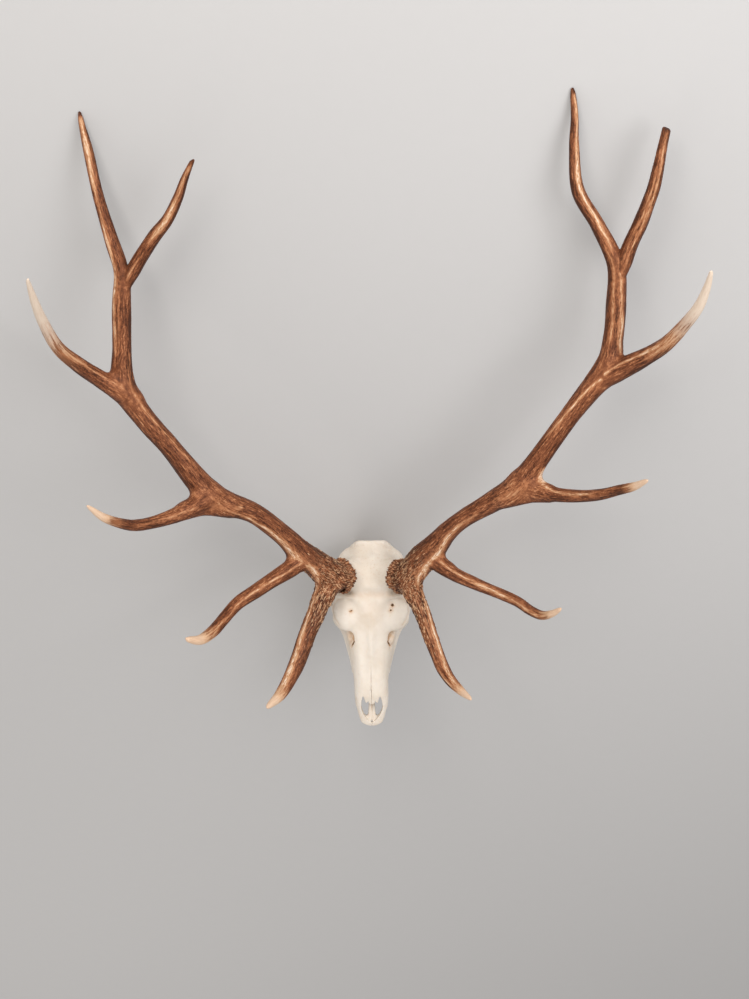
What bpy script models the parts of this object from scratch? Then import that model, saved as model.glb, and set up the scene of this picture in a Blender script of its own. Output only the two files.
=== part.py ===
# A bull elk's skull with its antlers, without the lower jaw, lying as it rests by itself:
# tipped back onto its two jugular processes and the ends of both main beams.
#
# The working frame is in centimetres. X runs to the side, positive to the animal's left.
# Y runs towards the back of the head, with zero at the burrs. Z runs up from the chewing
# surface of the teeth. An empty turns that frame into the resting one, in metres.

import math

import bmesh
import bpy
from mathutils import Matrix, Vector

CM = 0.01
GAP = 0.03
TILT = math.radians(41.0)
FLOOR_HEIGHT = -3.36

SKULL_VOXEL = 0.0030
SKULL_SHARE_KEPT = 0.036
ORBIT_RIM_RADIUS = 3.15
ORBIT_RIM_THICKNESS = 0.75

# The burr, where each antler grows from its pedicle
BURR_CENTRE = (6.7, 0.1, 18.8)
BURR_AXIS = (0.55, -0.07, 0.83)
BURR_RADIUS = 4.3
BURR_KNOBS = 14
BURR_KNOB_RISE = 0.32
PEDICLE_ROOT = (4.2, 0.5, 14.0)
PEDICLE_RADIUS = 2.75

BEAM_SIDES = 14
BEAM_RING_EVERY = 4.8
TINE_SIDES = 10
TINE_RING_EVERY = 4.0
BEAM_DEPTH = 2.6
TINE_FLARE = (0.75, 7.0)

# Each route is a list of x, y, z and radius, from the root to the tip
RIGHT_BEAM = [
    (-7.4, 0.0, 19.9, 3.3), (-8.5, 0.0, 21.3, 3.45), (-9.9, 1.0, 23.0, 3.35), (-12.4, 3.0, 26.0, 3.1),
    (-15.8, 5.9, 29.5, 2.8), (-19.6, 10.0, 33.5, 2.3), (-25.5, 14.8, 39.0, 2.25),
    (-31.9, 17.5, 43.0, 2.6), (-36.4, 21.2, 46.2, 2.6), (-41.8, 28.5, 51.0, 2.15),
    (-46.9, 34.8, 55.0, 2.25), (-50.6, 41.2, 58.0, 2.4), (-50.5, 49.6, 61.0, 1.9),
    (-50.1, 56.9, 63.5, 1.9), (-49.5, 63.9, 66.0, 1.95), (-51.3, 69.4, 68.0, 1.45),
    (-53.3, 77.4, 71.0, 1.05), (-54.6, 85.0, 73.5, 0.95), (-55.6, 90.1, 75.2, 0.6),
    (-55.9, 92.3, 75.9, 0.35),
]
LEFT_BEAM = [
    (7.4, 0.0, 19.9, 3.3), (8.5, 0.0, 21.3, 3.45), (9.8, 1.3, 23.0, 3.35), (12.0, 4.6, 26.5, 3.1),
    (14.7, 7.6, 30.0, 2.75), (17.3, 10.9, 33.5, 2.2), (21.1, 14.1, 37.5, 2.0), (27.1, 17.8, 42.0, 2.35),
    (31.8, 21.0, 45.5, 2.7), (35.6, 26.5, 49.0, 2.2), (41.7, 35.6, 54.0, 2.05), (48.4, 45.0, 58.5, 2.5),
    (49.4, 50.5, 60.5, 2.05), (49.6, 57.5, 63.0, 2.0), (49.2, 65.3, 66.0, 2.15),
    (45.1, 72.0, 68.5, 1.5), (40.7, 78.3, 71.5, 1.27), (39.4, 85.8, 75.0, 0.97),
    (39.2, 91.0, 77.1, 0.75), (38.7, 94.8, 78.6, 0.52), (38.5, 95.9, 79.15, 0.35),
]
RIGHT_TINES = {
    "brow_tine": [
        (-8.3, 0.2, 20.9, 2.5), (-10.9, -3.6, 23.6, 2.35), (-12.5, -7.9, 25.0, 2.1),
        (-14.6, -13.2, 26.0, 1.95), (-16.4, -18.4, 27.5, 1.85), (-18.0, -22.0, 29.5, 1.65),
        (-20.1, -25.6, 33.0, 1.3), (-22.2, -27.4, 36.8, 0.75), (-22.7, -27.8, 37.9, 0.33),
    ],
    "bez_tine": [
        (-14.8, 4.6, 28.6, 2.2), (-18.3, 2.2, 31.3, 2.0), (-22.0, -0.1, 33.5, 1.7),
        (-25.3, -2.3, 35.5, 1.6), (-29.3, -5.0, 38.0, 1.45), (-32.3, -8.5, 41.5, 1.32),
        (-34.1, -10.6, 44.5, 1.3), (-36.1, -11.9, 48.0, 1.1), (-38.0, -11.6, 51.0, 0.7),
        (-38.6, -11.3, 51.9, 0.32),
    ],
    "trez_tine": [
        (-34.4, 18.8, 44.8, 2.2), (-37.6, 16.5, 47.6, 2.0), (-41.1, 14.6, 50.5, 1.6),
        (-45.0, 13.2, 54.0, 1.3), (-48.2, 12.6, 58.0, 1.2), (-50.7, 13.1, 62.0, 1.0),
        (-53.2, 14.3, 66.0, 0.85), (-55.0, 16.0, 69.1, 0.5), (-55.6, 16.6, 70.0, 0.28),
    ],
    "royal_tine": [
        (-48.9, 38.6, 56.9, 2.4), (-51.9, 40.5, 59.0, 2.1), (-55.1, 42.5, 61.0, 1.75),
        (-58.6, 45.0, 65.0, 1.55), (-61.4, 47.8, 70.5, 1.3), (-62.6, 51.9, 77.5, 1.05),
        (-62.6, 54.8, 84.0, 0.8), (-62.3, 57.4, 89.8, 0.42), (-62.1, 57.9, 91.0, 0.22),
    ],
    "surroyal_tine": [
        (-49.3, 62.2, 65.2, 1.8), (-46.8, 65.4, 67.3, 1.6), (-42.6, 69.3, 70.5, 1.32),
        (-39.4, 72.2, 73.5, 1.15), (-37.0, 75.6, 76.5, 0.98), (-35.3, 78.6, 79.5, 0.74),
        (-33.6, 81.0, 82.4, 0.45), (-33.1, 81.5, 83.0, 0.28),
    ],
}
LEFT_TINES = {
    "brow_tine": [
        (8.3, 0.2, 20.9, 2.5), (10.5, -4.6, 23.8, 2.0), (12.1, -8.8, 25.0, 1.8),
        (13.7, -13.5, 26.0, 1.7), (15.0, -17.0, 27.5, 1.55), (16.3, -20.2, 29.0, 1.5),
        (18.0, -22.8, 31.5, 1.25), (20.1, -24.7, 34.5, 0.95), (21.6, -25.7, 37.2, 0.55),
        (22.0, -26.0, 38.0, 0.3),
    ],
    "bez_tine": [
        (13.6, 5.0, 28.2, 2.1), (18.2, 1.5, 31.5, 1.6), (22.5, -0.5, 34.0, 1.4),
        (27.4, -2.4, 37.0, 1.22), (31.9, -4.3, 40.5, 1.14), (34.4, -6.0, 43.5, 1.05),
        (36.7, -6.9, 46.0, 0.95), (38.4, -6.3, 49.0, 0.77), (39.6, -5.3, 51.4, 0.48),
        (39.9, -5.0, 52.0, 0.28),
    ],
    "trez_tine": [
        (32.2, 21.8, 45.2, 2.3), (35.8, 19.9, 47.7, 1.9), (39.3, 18.9, 51.0, 1.5),
        (43.3, 18.6, 55.0, 1.3), (46.9, 18.9, 59.5, 1.15), (50.0, 19.8, 64.0, 1.0),
        (52.3, 20.5, 68.0, 0.85), (53.8, 21.4, 71.2, 0.5), (54.1, 21.6, 72.0, 0.28),
    ],
    "royal_tine": [
        (47.0, 42.2, 57.2, 2.4), (50.9, 44.4, 60.6, 2.2), (55.0, 46.4, 65.0, 1.8),
        (58.1, 48.4, 70.0, 1.5), (60.3, 51.2, 75.5, 1.25), (61.8, 54.0, 81.5, 1.05),
        (62.2, 56.8, 86.5, 0.76), (62.1, 58.9, 90.2, 0.45), (62.0, 59.3, 91.0, 0.28),
    ],
    "surroyal_tine": [
        (49.4, 62.8, 65.2, 2.0), (51.3, 68.3, 68.0, 1.65), (53.0, 72.0, 70.5, 1.45),
        (53.9, 75.0, 73.0, 1.32), (54.7, 78.1, 75.5, 1.25), (55.2, 81.5, 77.5, 1.08),
        (55.6, 84.8, 79.0, 0.9), (56.1, 88.0, 80.5, 0.8),
    ],
}

# Cross-sections of the skull from back to front: y, half width, top, bottom, squareness and
# how much narrower the top is than the bottom
SKULL_STATIONS = [
    (8.0, 3.4, 12.2, 6.8, 2.2, 0.0), (7.0, 4.6, 13.5, 5.6, 2.2, 0.0), (3.5, 5.7, 15.2, 5.0, 2.2, 0.0),
    (0.0, 5.5, 16.5, 5.2, 2.3, 0.0), (-3.0, 5.3, 16.8, 5.6, 2.4, 0.0), (-6.0, 6.0, 16.4, 5.5, 2.4, 0.0),
    (-9.0, 6.4, 15.6, 4.0, 2.3, 0.05), (-13.0, 6.5, 14.3, 2.4, 2.3, 0.12),
    (-17.0, 5.7, 13.0, 1.8, 2.4, 0.16), (-20.0, 5.15, 12.2, 1.8, 2.5, 0.16),
    (-23.0, 4.7, 11.4, 2.0, 2.5, 0.14), (-26.0, 4.4, 10.6, 2.8, 2.6, 0.12),
    (-29.5, 4.35, 9.4, 3.0, 2.7, 0.12), (-32.0, 4.1, 7.6, 2.8, 2.8, 0.1),
    (-35.0, 3.3, 5.2, 2.6, 2.6, 0.1), (-37.4, 2.0, 3.9, 2.8, 2.4, 0.0),
]
NASAL_PASSAGE = [
    (-39.0, 1.2, 8.2, 4.0, 2.4, 0.0), (-36.2, 1.9, 9.0, 4.0, 2.4, 0.0),
    (-33.5, 2.7, 10.0, 4.0, 2.4, 0.0), (-30.2, 2.9, 10.0, 4.1, 2.4, 0.0),
    (-29.0, 2.9, 8.9, 4.2, 2.4, 0.0), (-26.0, 2.9, 9.4, 4.4, 2.4, 0.1),
    (-21.0, 3.2, 10.8, 4.6, 2.4, 0.1), (-16.0, 3.6, 12.0, 5.2, 2.4, 0.1),
    (-12.5, 2.6, 11.4, 6.6, 2.4, 0.0),
]
ALVEOLAR_HEIGHT = 1.75
ALVEOLAR_ENDS = (-24.2, -8.2)

# Upper cheek teeth of one side, front to back: name, length along the row and width
TEETH = [
    ("premolar_2", 1.75, 1.5), ("premolar_3", 1.8, 1.8), ("premolar_4", 1.8, 2.0),
    ("molar_1", 2.5, 2.2), ("molar_2", 2.8, 2.35), ("molar_3", 2.75, 2.2),
]
TOOTH_ROW_FRONT = (3.45, -23.4)
TOOTH_ROW_BACK = (4.35, -9.7)
TOOTH_SPACING = 0.05
TOOTH_CORNERS = 10
CROWN_CUT = 0.25

BONE = ((0.79, 0.69, 0.58), 0.55)
ANTLER = ((0.24, 0.12, 0.075), 0.6)
ENAMEL = ((0.72, 0.65, 0.50), 0.35)


def clear_scene():
    for old in list(bpy.data.objects):
        bpy.data.objects.remove(old, do_unlink=True)


def make_material(name, colour, roughness):
    material = bpy.data.materials.new(name)
    material.use_nodes = True
    shader = material.node_tree.nodes["Principled BSDF"]
    shader.inputs["Base Color"].default_value = (*colour, 1.0)
    shader.inputs["Roughness"].default_value = roughness
    shader.inputs["Metallic"].default_value = 0.0
    return material


def make_object(name, bm, material, parent):
    """Turns a bmesh in centimetres into an object in the skull's own frame."""
    bmesh.ops.triangulate(bm, faces=bm.faces, quad_method="FIXED")
    bmesh.ops.recalc_face_normals(bm, faces=bm.faces)
    bmesh.ops.scale(bm, vec=(CM, CM, CM), verts=bm.verts)
    mesh = bpy.data.meshes.new(name)
    bm.to_mesh(mesh)
    bm.free()
    if material:
        mesh.materials.append(material)
    mesh.shade_smooth()
    mesh.set_sharp_from_angle(angle=math.radians(50))
    obj = bpy.data.objects.new(name, mesh)
    bpy.context.scene.collection.objects.link(obj)
    obj.parent = parent
    return obj


def make_cutter(name, bm, parent):
    cutter = make_object(name, bm, None, parent)
    cutter.hide_render = True
    cutter.display_type = "WIRE"
    return cutter


def cut(obj, cutter, operation="DIFFERENCE"):
    modifier = obj.modifiers.new(f"{operation.lower()}_{cutter.name}", "BOOLEAN")
    modifier.operation = operation
    modifier.object = cutter
    modifier.solver = "EXACT"


def voxel_remesh(obj, size):
    modifier = obj.modifiers.new("voxels", "REMESH")
    modifier.mode = "VOXEL"
    modifier.voxel_size = size


def both_sides(point):
    """The same point on the animal's right and on its left."""
    x, y, z = point
    return [(-1, Vector((-x, y, z))), (1, Vector((x, y, z)))]


def bridge_rings(bm, rings):
    """Closes a row of vertex rings, with as many points in each, into one solid."""
    count = len(rings[0])
    for lower, upper in zip(rings, rings[1:]):
        for i in range(count):
            j = (i + 1) % count
            bm.faces.new((lower[i], lower[j], upper[j], upper[i]))
    bm.faces.new(rings[0])
    bm.faces.new(list(reversed(rings[-1])))


def add_ellipsoid(bm, centre, radii, turn=None, detail=2):
    place = Matrix.Translation(centre) @ (turn or Matrix()) @ Matrix.Diagonal((*radii, 1))
    bmesh.ops.create_icosphere(bm, subdivisions=detail, radius=1.0, matrix=place)


def add_box(bm, low, high):
    low, high = Vector(low), Vector(high)
    place = Matrix.Translation((low + high) / 2) @ Matrix.Diagonal((*(high - low), 1))
    bmesh.ops.create_cube(bm, size=1.0, matrix=place)


def section_point(angle, half_width, top, bottom, squareness, taper):
    power = 2 / squareness
    across = math.copysign(abs(math.cos(angle)) ** power, math.cos(angle))
    up = math.copysign(abs(math.sin(angle)) ** power, math.sin(angle))
    x = half_width * across * (1 - taper * (up + 1) / 2)
    return x, (top + bottom) / 2 + up * (top - bottom) / 2


def add_stations(bm, stations, sides=28):
    """Lofts cross-sections that face along Y."""
    rings = []
    for y, *section in stations:
        ring = []
        for i in range(sides):
            x, z = section_point(math.tau * i / sides, *section)
            ring.append(bm.verts.new((x, y, z)))
        rings.append(ring)
    bridge_rings(bm, rings)


def smooth_route(route, every):
    """Points at even spacing on a smooth curve through the route, each with its radius."""
    knots = [Vector(point) for point in route]
    ends = [knots[0] * 2 - knots[1], *knots, knots[-1] * 2 - knots[-2]]
    fine = []
    steps = 24
    for before, start, end, after in zip(ends, ends[1:], ends[2:], ends[3:]):
        for i in range(steps):
            t = i / steps
            fine.append(0.5 * (
                2 * start + (end - before) * t
                + (2 * before - 5 * start + 4 * end - after) * t ** 2
                + (3 * start - before - 3 * end + after) * t ** 3
            ))
    fine.append(knots[-1])
    lengths = [0.0]
    for one, two in zip(fine, fine[1:]):
        lengths.append(lengths[-1] + (two.xyz - one.xyz).length)
    count = max(3, round(lengths[-1] / every))
    wanted = [lengths[-1] * i / count for i in range(count + 1)]
    # Two more rings near the tip keep its blunt, rounded end
    tip = fine[-1][3]
    wanted[-1:] = [lengths[-1] - 1.6 * tip, lengths[-1] - 0.5 * tip, lengths[-1]]
    points = []
    k = 0
    for length in wanted:
        while k < len(lengths) - 2 and lengths[k + 1] < length:
            k += 1
        share = (length - lengths[k]) / max(lengths[k + 1] - lengths[k], 1e-9)
        points.append(fine[k].lerp(fine[k + 1], share))
    return points


def ring_frames(points, side_hint):
    """A pair of axes across the route at each point, carried along without twisting."""
    frames = []
    side = Vector(side_hint)
    for i, point in enumerate(points):
        ahead = points[min(i + 1, len(points) - 1)].xyz
        behind = points[max(i - 1, 0)].xyz
        along = (ahead - behind).normalized()
        side = (side - along * side.dot(along)).normalized()
        frames.append((point.xyz, side.copy(), along.cross(side)))
    return frames


def ridge(angle, along, phase):
    """The long low ridges that run up an antler, turning slowly."""
    twist = along * 0.035
    return (
        1 + 0.045 * math.sin(3 * angle + twist * 2 + phase)
        + 0.030 * math.sin(5 * angle - twist * 3 + 2 * phase)
        + 0.018 * math.sin(along * 0.9 + 2 * angle + phase)
    )


def add_tube(bm, route, sides, every, side_hint, phase, flare=None, grow=0.0, blunt=False):
    """A tapering tube along a route. Flare is how much wider a tine gets just outside the beam, and
    where that ends. Inside the beam its root stays narrow."""
    points = smooth_route(route, every)
    rings = []
    along = 0.0
    last = points[0].xyz
    for n, (centre, side, over) in enumerate(ring_frames(points, side_hint)):
        along += (centre - last).length
        last = centre
        radius = points[n][3]
        wide = 1.0
        if flare:
            widest, reach = flare
            rise = min(1.0, along / BEAM_DEPTH) ** 2
            wide += widest * rise * max(0.0, 1 - along / reach) ** 1.2
            radius *= 0.55 + 0.45 * rise
        if n == len(points) - 1 and not blunt:
            radius *= 0.45
        ring = []
        for i in range(sides):
            angle = math.tau * i / sides
            reach = radius * ridge(angle, along, phase) + grow
            offset = side * (math.cos(angle) * reach * wide) + over * (math.sin(angle) * reach)
            ring.append(bm.verts.new(centre + offset))
        rings.append(ring)
    bridge_rings(bm, rings)


def axis_frame(centre, axis):
    """A frame at the centre whose Z runs along the axis."""
    turn = Vector((0, 0, 1)).rotation_difference(Vector(axis)).to_matrix().to_4x4()
    return Matrix.Translation(centre) @ turn


def build_skull(parent, bone):
    solid = bmesh.new()
    add_stations(solid, SKULL_STATIONS)
    for sign, centre in both_sides(BURR_CENTRE):
        axis = Vector((sign * BURR_AXIS[0], *BURR_AXIS[1:])).normalized()
        root = Vector((sign * PEDICLE_ROOT[0], *PEDICLE_ROOT[1:]))
        top = centre + axis
        middle = root.lerp(top, 0.5)
        pedicle = [(*root, PEDICLE_RADIUS + 0.9), (*middle, PEDICLE_RADIUS), (*top, PEDICLE_RADIUS)]
        add_tube(solid, pedicle, 16, 1.2, (0, 1, 0), 0.4, blunt=True)
        add_skull_side(solid, sign)
    crest = [
        (-6.0, 4.0, 7.8, 0.8), (-4.9, 5.9, 10.2, 0.75), (-3.0, 7.4, 12.4, 0.75), (0, 7.6, 12.9, 0.85),
        (3.0, 7.4, 12.4, 0.75), (4.9, 5.9, 10.2, 0.75), (6.0, 4.0, 7.8, 0.8),
    ]
    add_tube(solid, crest, 8, 1.5, (0, 0, 1), 0.0, blunt=True)
    base = [(0, 7.6, 5.3, 1.5), (0, 3.0, 4.9, 1.5), (0, -2.0, 5.2, 1.2), (0, -6.0, 5.8, 1.0)]
    add_tube(solid, base, 10, 1.5, (1, 0, 0), 0.0, blunt=True)
    skull = make_object("skull", solid, bone, parent)

    hollows = bmesh.new()
    add_stations(hollows, NASAL_PASSAGE)
    add_ellipsoid(hollows, (0, 1.2, 10.6), (4.2, 5.8, 4.2))
    spine_hole = [(0, 10.5, 7.0, 1.75), (0, 7.8, 7.7, 1.65), (0, 4.0, 9.0, 1.8)]
    add_tube(hollows, spine_hole, 12, 1.0, (1, 0, 0), 0.0, blunt=True)
    throat = [(0, -3.2, 3.0, 1.45), (0, -8.0, 4.0, 1.5), (0, -13.5, 7.0, 1.5)]
    add_tube(hollows, throat, 12, 1.0, (1, 0, 0), 0.0, blunt=True)
    vault = [(0, -6.0, 0.4, 2.6), (0, -12.0, 0.6, 2.8), (0, -22.0, 0.8, 2.4), (0, -31.0, 1.0, 1.6)]
    add_tube(hollows, vault, 14, 1.5, (1, 0, 0), 0.0, blunt=True)
    for sign in (-1, 1):
        add_hollow_side(hollows, sign)
    hollows = make_cutter("skull_hollows", hollows, parent)
    voxel_remesh(hollows, SKULL_VOXEL * 0.7)

    voxel_remesh(skull, SKULL_VOXEL)
    cut(skull, hollows)
    voxel_remesh(skull, SKULL_VOXEL)
    relax = skull.modifiers.new("relax", "SMOOTH")
    relax.factor = 0.5
    relax.iterations = 3
    thin = skull.modifiers.new("fewer_faces", "DECIMATE")
    thin.ratio = SKULL_SHARE_KEPT
    thin.use_symmetry = True
    thin.symmetry_axis = "X"

    flats = bmesh.new()
    for sign, centre in both_sides(BURR_CENTRE):
        axis = Vector((sign * BURR_AXIS[0], *BURR_AXIS[1:])).normalized()
        above = axis_frame(centre + axis * (2 - GAP), axis)
        bmesh.ops.create_cone(flats, cap_ends=True, segments=20, radius1=5, radius2=5, depth=4,
                              matrix=above)
    for sign in (-1, 1):
        inner, outer = sorted((sign * 2.2, sign * 7.5))
        add_box(flats, (inner, ALVEOLAR_ENDS[0], -2.0), (outer, ALVEOLAR_ENDS[1], ALVEOLAR_HEIGHT))
    cut(skull, make_cutter("skull_flats", flats, parent))
    return skull


def add_skull_side(bm, sign):
    """What stands out from the skull on one side."""
    def at(x, y, z):
        return sign * x, y, z

    def route(*points):
        return [(sign * x, y, z, radius) for x, y, z, radius in points]

    add_ellipsoid(bm, at(5.6, 2.9, 8.6), (2.0, 3.2, 3.4))
    add_ellipsoid(bm, at(5.5, -8.8, 11.8), (4.0, 4.7, 3.4))
    bar = route((4.6, 0.2, 13.6, 1.9), (6.4, -3.0, 13.0, 1.7), (8.0, -6.0, 12.2, 1.1),
                (8.9, -7.0, 10.6, 0.8))
    add_tube(bm, bar, 12, 1.4, (0, 0, 1), 0.0, blunt=True)
    rim_axis = Vector(at(0.95, -0.25, 0.18))
    rim = axis_frame(Vector(at(8.2, -8.7, 10.4)), rim_axis)
    ring = []
    for i in range(17):
        angle = math.tau * i / 16
        point = Vector((math.cos(angle), math.sin(angle), 0)) * ORBIT_RIM_RADIUS
        ring.append((*(rim @ point), ORBIT_RIM_THICKNESS))
    add_tube(bm, ring, 8, 1.2, tuple(rim_axis), 0.0, blunt=True)
    # The seam of that ring
    add_ellipsoid(bm, ring[0][:3], [ORBIT_RIM_THICKNESS] * 3, detail=1)
    arch = route((7.7, -11.6, 7.5, 0.9), (8.6, -7.7, 6.9, 0.8), (8.6, -2.5, 7.3, 0.75),
                 (7.4, 1.6, 8.0, 0.9), (6.0, 3.4, 8.6, 1.2))
    add_tube(bm, arch, 10, 1.4, (0, 0, 1), 0.0, blunt=True)
    cheek = route((7.6, -11.4, 7.6, 1.0), (5.9, -14.6, 6.8, 1.0), (4.9, -18.5, 5.8, 0.8),
                  (4.2, -22.0, 5.0, 0.6))
    add_tube(bm, cheek, 10, 1.4, (0, 0, 1), 0.0, blunt=True)
    ledge = route((3.4, -23.9, 2.9, 1.3), (3.9, -18.0, 2.8, 1.5), (4.3, -12.0, 2.8, 1.5),
                  (4.2, -8.7, 3.2, 1.2))
    add_tube(bm, ledge, 12, 1.5, (1, 0, 0), 0.0, blunt=True)
    add_ellipsoid(bm, at(3.3, 2.8, 4.7), (1.2, 1.7, 1.4))
    jugular = route((4.8, 6.2, 7.2, 1.4), (4.4, 6.1, 4.0, 1.0), (4.0, 5.7, 1.6, 0.75),
                    (3.9, 5.6, 0.6, 0.6))
    add_tube(bm, jugular, 8, 1.2, (0, 1, 0), 0.0, blunt=True)
    condyle = Matrix.Rotation(sign * math.radians(-20), 4, "Y")
    add_ellipsoid(bm, at(2.2, 6.9, 6.6), (1.3, 1.5, 1.9), condyle)
    add_ellipsoid(bm, at(1.95, -4.6, 4.4), (0.42, 3.2, 2.2))


def add_hollow_side(bm, sign):
    """What is hollow on one side of the skull."""
    def at(x, y, z):
        return sign * x, y, z

    add_ellipsoid(bm, at(8.9, -8.9, 10.4), (3.1, 2.6, 2.5))
    add_ellipsoid(bm, at(8.0, -1.2, 9.8), (1.9, 2.8, 2.2))
    add_ellipsoid(bm, at(4.9, -15.8, 11.6), (0.75, 1.8, 1.7))
    add_ellipsoid(bm, at(7.8, -14.0, 9.6), (1.25, 1.5, 1.5))
    add_ellipsoid(bm, at(1.65, -32.7, 3.2), (0.95, 2.4, 2.6))


def add_burr(bm, centre, axis, phase, clearance=0.0):
    """The knobbly ring at an antler's root, flat where it meets the pedicle."""
    frame = axis_frame(centre, axis)
    sides = BURR_KNOBS * 2
    levels = [(0.0, -0.75, 0.3), (0.35, 0.0, 1.0), (0.95, 0.05, 1.0), (1.5, -0.45, 0.4), (2.1, -1.3, 0.0)]
    rings = []
    for height, grow, share in levels:
        ring = []
        for i in range(sides):
            angle = math.tau * i / sides
            knob = BURR_KNOB_RISE if i % 2 else -BURR_KNOB_RISE
            reach = BURR_RADIUS + grow + share * (knob + 0.2 * math.sin(3 * angle + phase)) + clearance
            rise = height + clearance if height else -clearance
            place = Vector((reach * math.cos(angle), reach * math.sin(angle), rise))
            ring.append(bm.verts.new(frame @ place))
        rings.append(ring)
    bridge_rings(bm, rings)


def build_antler(side, sign, beam_route, tine_routes, parent, antler):
    """The beam with its burr, and the tines cut clear of it. Gives back the beam."""
    centre = Vector((sign * BURR_CENTRE[0], *BURR_CENTRE[1:]))
    axis = Vector((sign * BURR_AXIS[0], *BURR_AXIS[1:])).normalized()
    phase = 0.7 + 0.5 * sign
    forward = (0, -1, 0)

    tube = bmesh.new()
    add_tube(tube, beam_route, BEAM_SIDES, BEAM_RING_EVERY, forward, phase)
    beam = make_object(f"{side}_main_beam", tube, antler, parent)
    burr = bmesh.new()
    add_burr(burr, centre, axis, phase)
    cut(beam, make_cutter(f"{side}_burr", burr, parent), "UNION")

    shell = bmesh.new()
    add_tube(shell, beam_route, BEAM_SIDES, BEAM_RING_EVERY, forward, phase, grow=GAP * 1.1)
    clearance = make_cutter(f"{side}_beam_clearance", shell, parent)
    burr_shell = bmesh.new()
    add_burr(burr_shell, centre, axis, phase, clearance=GAP * 2)
    burr_clearance = make_cutter(f"{side}_burr_clearance", burr_shell, parent)

    for n, (name, route) in enumerate(tine_routes.items()):
        root = Vector(route[0][:3])
        nearest = sorted(beam_route, key=lambda p: (Vector(p[:3]) - root).length)[:2]
        beam_way = Vector(nearest[1][:3]) - Vector(nearest[0][:3])
        broken = side == "left" and name == "surroyal_tine"
        branch = bmesh.new()
        add_tube(branch, route, TINE_SIDES, TINE_RING_EVERY, beam_way, phase + n, flare=TINE_FLARE,
                 blunt=broken)
        tine = make_object(f"{side}_{name}", branch, antler, parent)
        cut(tine, clearance)
        if name == "brow_tine":
            cut(tine, burr_clearance)
    return beam


def build_tooth(name, sign, centre, along, length, width, lobes, parent, enamel):
    """A high cheek tooth: a waisted outline of one or two lobes, and crescents worn on its crown."""
    across = Vector((along.y, -along.x, 0)) * sign
    outline = []
    for i in range(TOOTH_CORNERS):
        angle = math.tau * (i + 0.5) / TOOTH_CORNERS
        waist = 1 - 0.12 * (lobes - 1) * max(0.0, math.cos(2 * angle + math.pi)) ** 2
        u = 0.5 * length * math.copysign(abs(math.cos(angle)) ** 0.7, math.cos(angle))
        v = 0.5 * width * math.copysign(abs(math.sin(angle)) ** 0.8, math.sin(angle)) * waist
        outline.append((u, v))
    top = ALVEOLAR_HEIGHT - GAP
    bm = bmesh.new()

    def place(u, v, height):
        return bm.verts.new(centre + along * u + across * v + Vector((0, 0, height)))

    neck = [place(u * 0.94, v * 0.94, top) for u, v in outline]
    crown = [place(u, v, 0.45) for u, v in outline]
    edge = []
    for u, v in outline:
        between_cusps = 1 - abs(math.sin(math.pi * lobes * (u / length + 0.5)))
        lower_side = 0.0 if v > 0 else 0.08
        edge.append(place(u * 0.9, v * 0.86, CROWN_CUT * between_cusps + lower_side))
    basin = [place(u * 0.55, v * 0.45, CROWN_CUT + 0.12) for u, v in outline]
    bridge_rings(bm, [neck, crown, edge, basin])
    make_object(name, bm, enamel, parent)


def build_teeth(parent, enamel):
    total = sum(length for _, length, _ in TEETH) + TOOTH_SPACING * (len(TEETH) - 1)
    for side, sign in (("right", -1), ("left", 1)):
        start = Vector((sign * TOOTH_ROW_FRONT[0], TOOTH_ROW_FRONT[1], 0))
        end = Vector((sign * TOOTH_ROW_BACK[0], TOOTH_ROW_BACK[1], 0))
        along = (end - start).normalized()
        stretch = (end - start).length / total
        reach = 0.0
        for name, length, width in TEETH:
            middle = start + along * (stretch * (reach + length / 2))
            lobes = 2 if name.startswith("molar") else 1
            build_tooth(f"{side}_{name}", sign, middle, along, length * stretch, width, lobes, parent, enamel)
            reach += length + TOOTH_SPACING


def settle_on_floor(parent, pieces):
    """Cuts a small flat where a piece meets the floor, and puts the origin under the middle."""
    bm = bmesh.new()
    add_box(bm, (-90, -60, FLOOR_HEIGHT - 12), (90, 160, FLOOR_HEIGHT))
    floor = make_cutter("floor_plane", bm, None)
    for piece in pieces:
        cut(piece, floor)
    bpy.context.view_layer.update()
    graph = bpy.context.evaluated_depsgraph_get()
    lows, highs = [], []
    for piece in pieces[0].parent.children:
        if piece.hide_render:
            continue
        evaluated = piece.evaluated_get(graph)
        corners = [evaluated.matrix_world @ vertex.co for vertex in evaluated.to_mesh().vertices]
        evaluated.to_mesh_clear()
        lows.append([min(corner[i] for corner in corners) for i in range(3)])
        highs.append([max(corner[i] for corner in corners) for i in range(3)])
    low = [min(values) for values in zip(*lows)]
    high = [max(values) for values in zip(*highs)]
    shift = Vector((-(low[0] + high[0]) / 2, -(low[1] + high[1]) / 2, -FLOOR_HEIGHT * CM))
    parent.location = shift
    floor.location = shift


def main():
    clear_scene()
    frame = bpy.data.objects.new("resting_frame", None)
    bpy.context.scene.collection.objects.link(frame)
    frame.rotation_euler = (-TILT, 0, 0)
    bone = make_material("bone", *BONE)
    antler = make_material("antler", *ANTLER)
    enamel = make_material("enamel", *ENAMEL)
    skull = build_skull(frame, bone)
    right_beam = build_antler("right", -1, RIGHT_BEAM, RIGHT_TINES, frame, antler)
    left_beam = build_antler("left", 1, LEFT_BEAM, LEFT_TINES, frame, antler)
    build_teeth(frame, enamel)
    settle_on_floor(frame, [skull, right_beam, left_beam])


main()
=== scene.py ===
import math

import bmesh
import bpy
import numpy as np
from mathutils import Matrix, Vector


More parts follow.
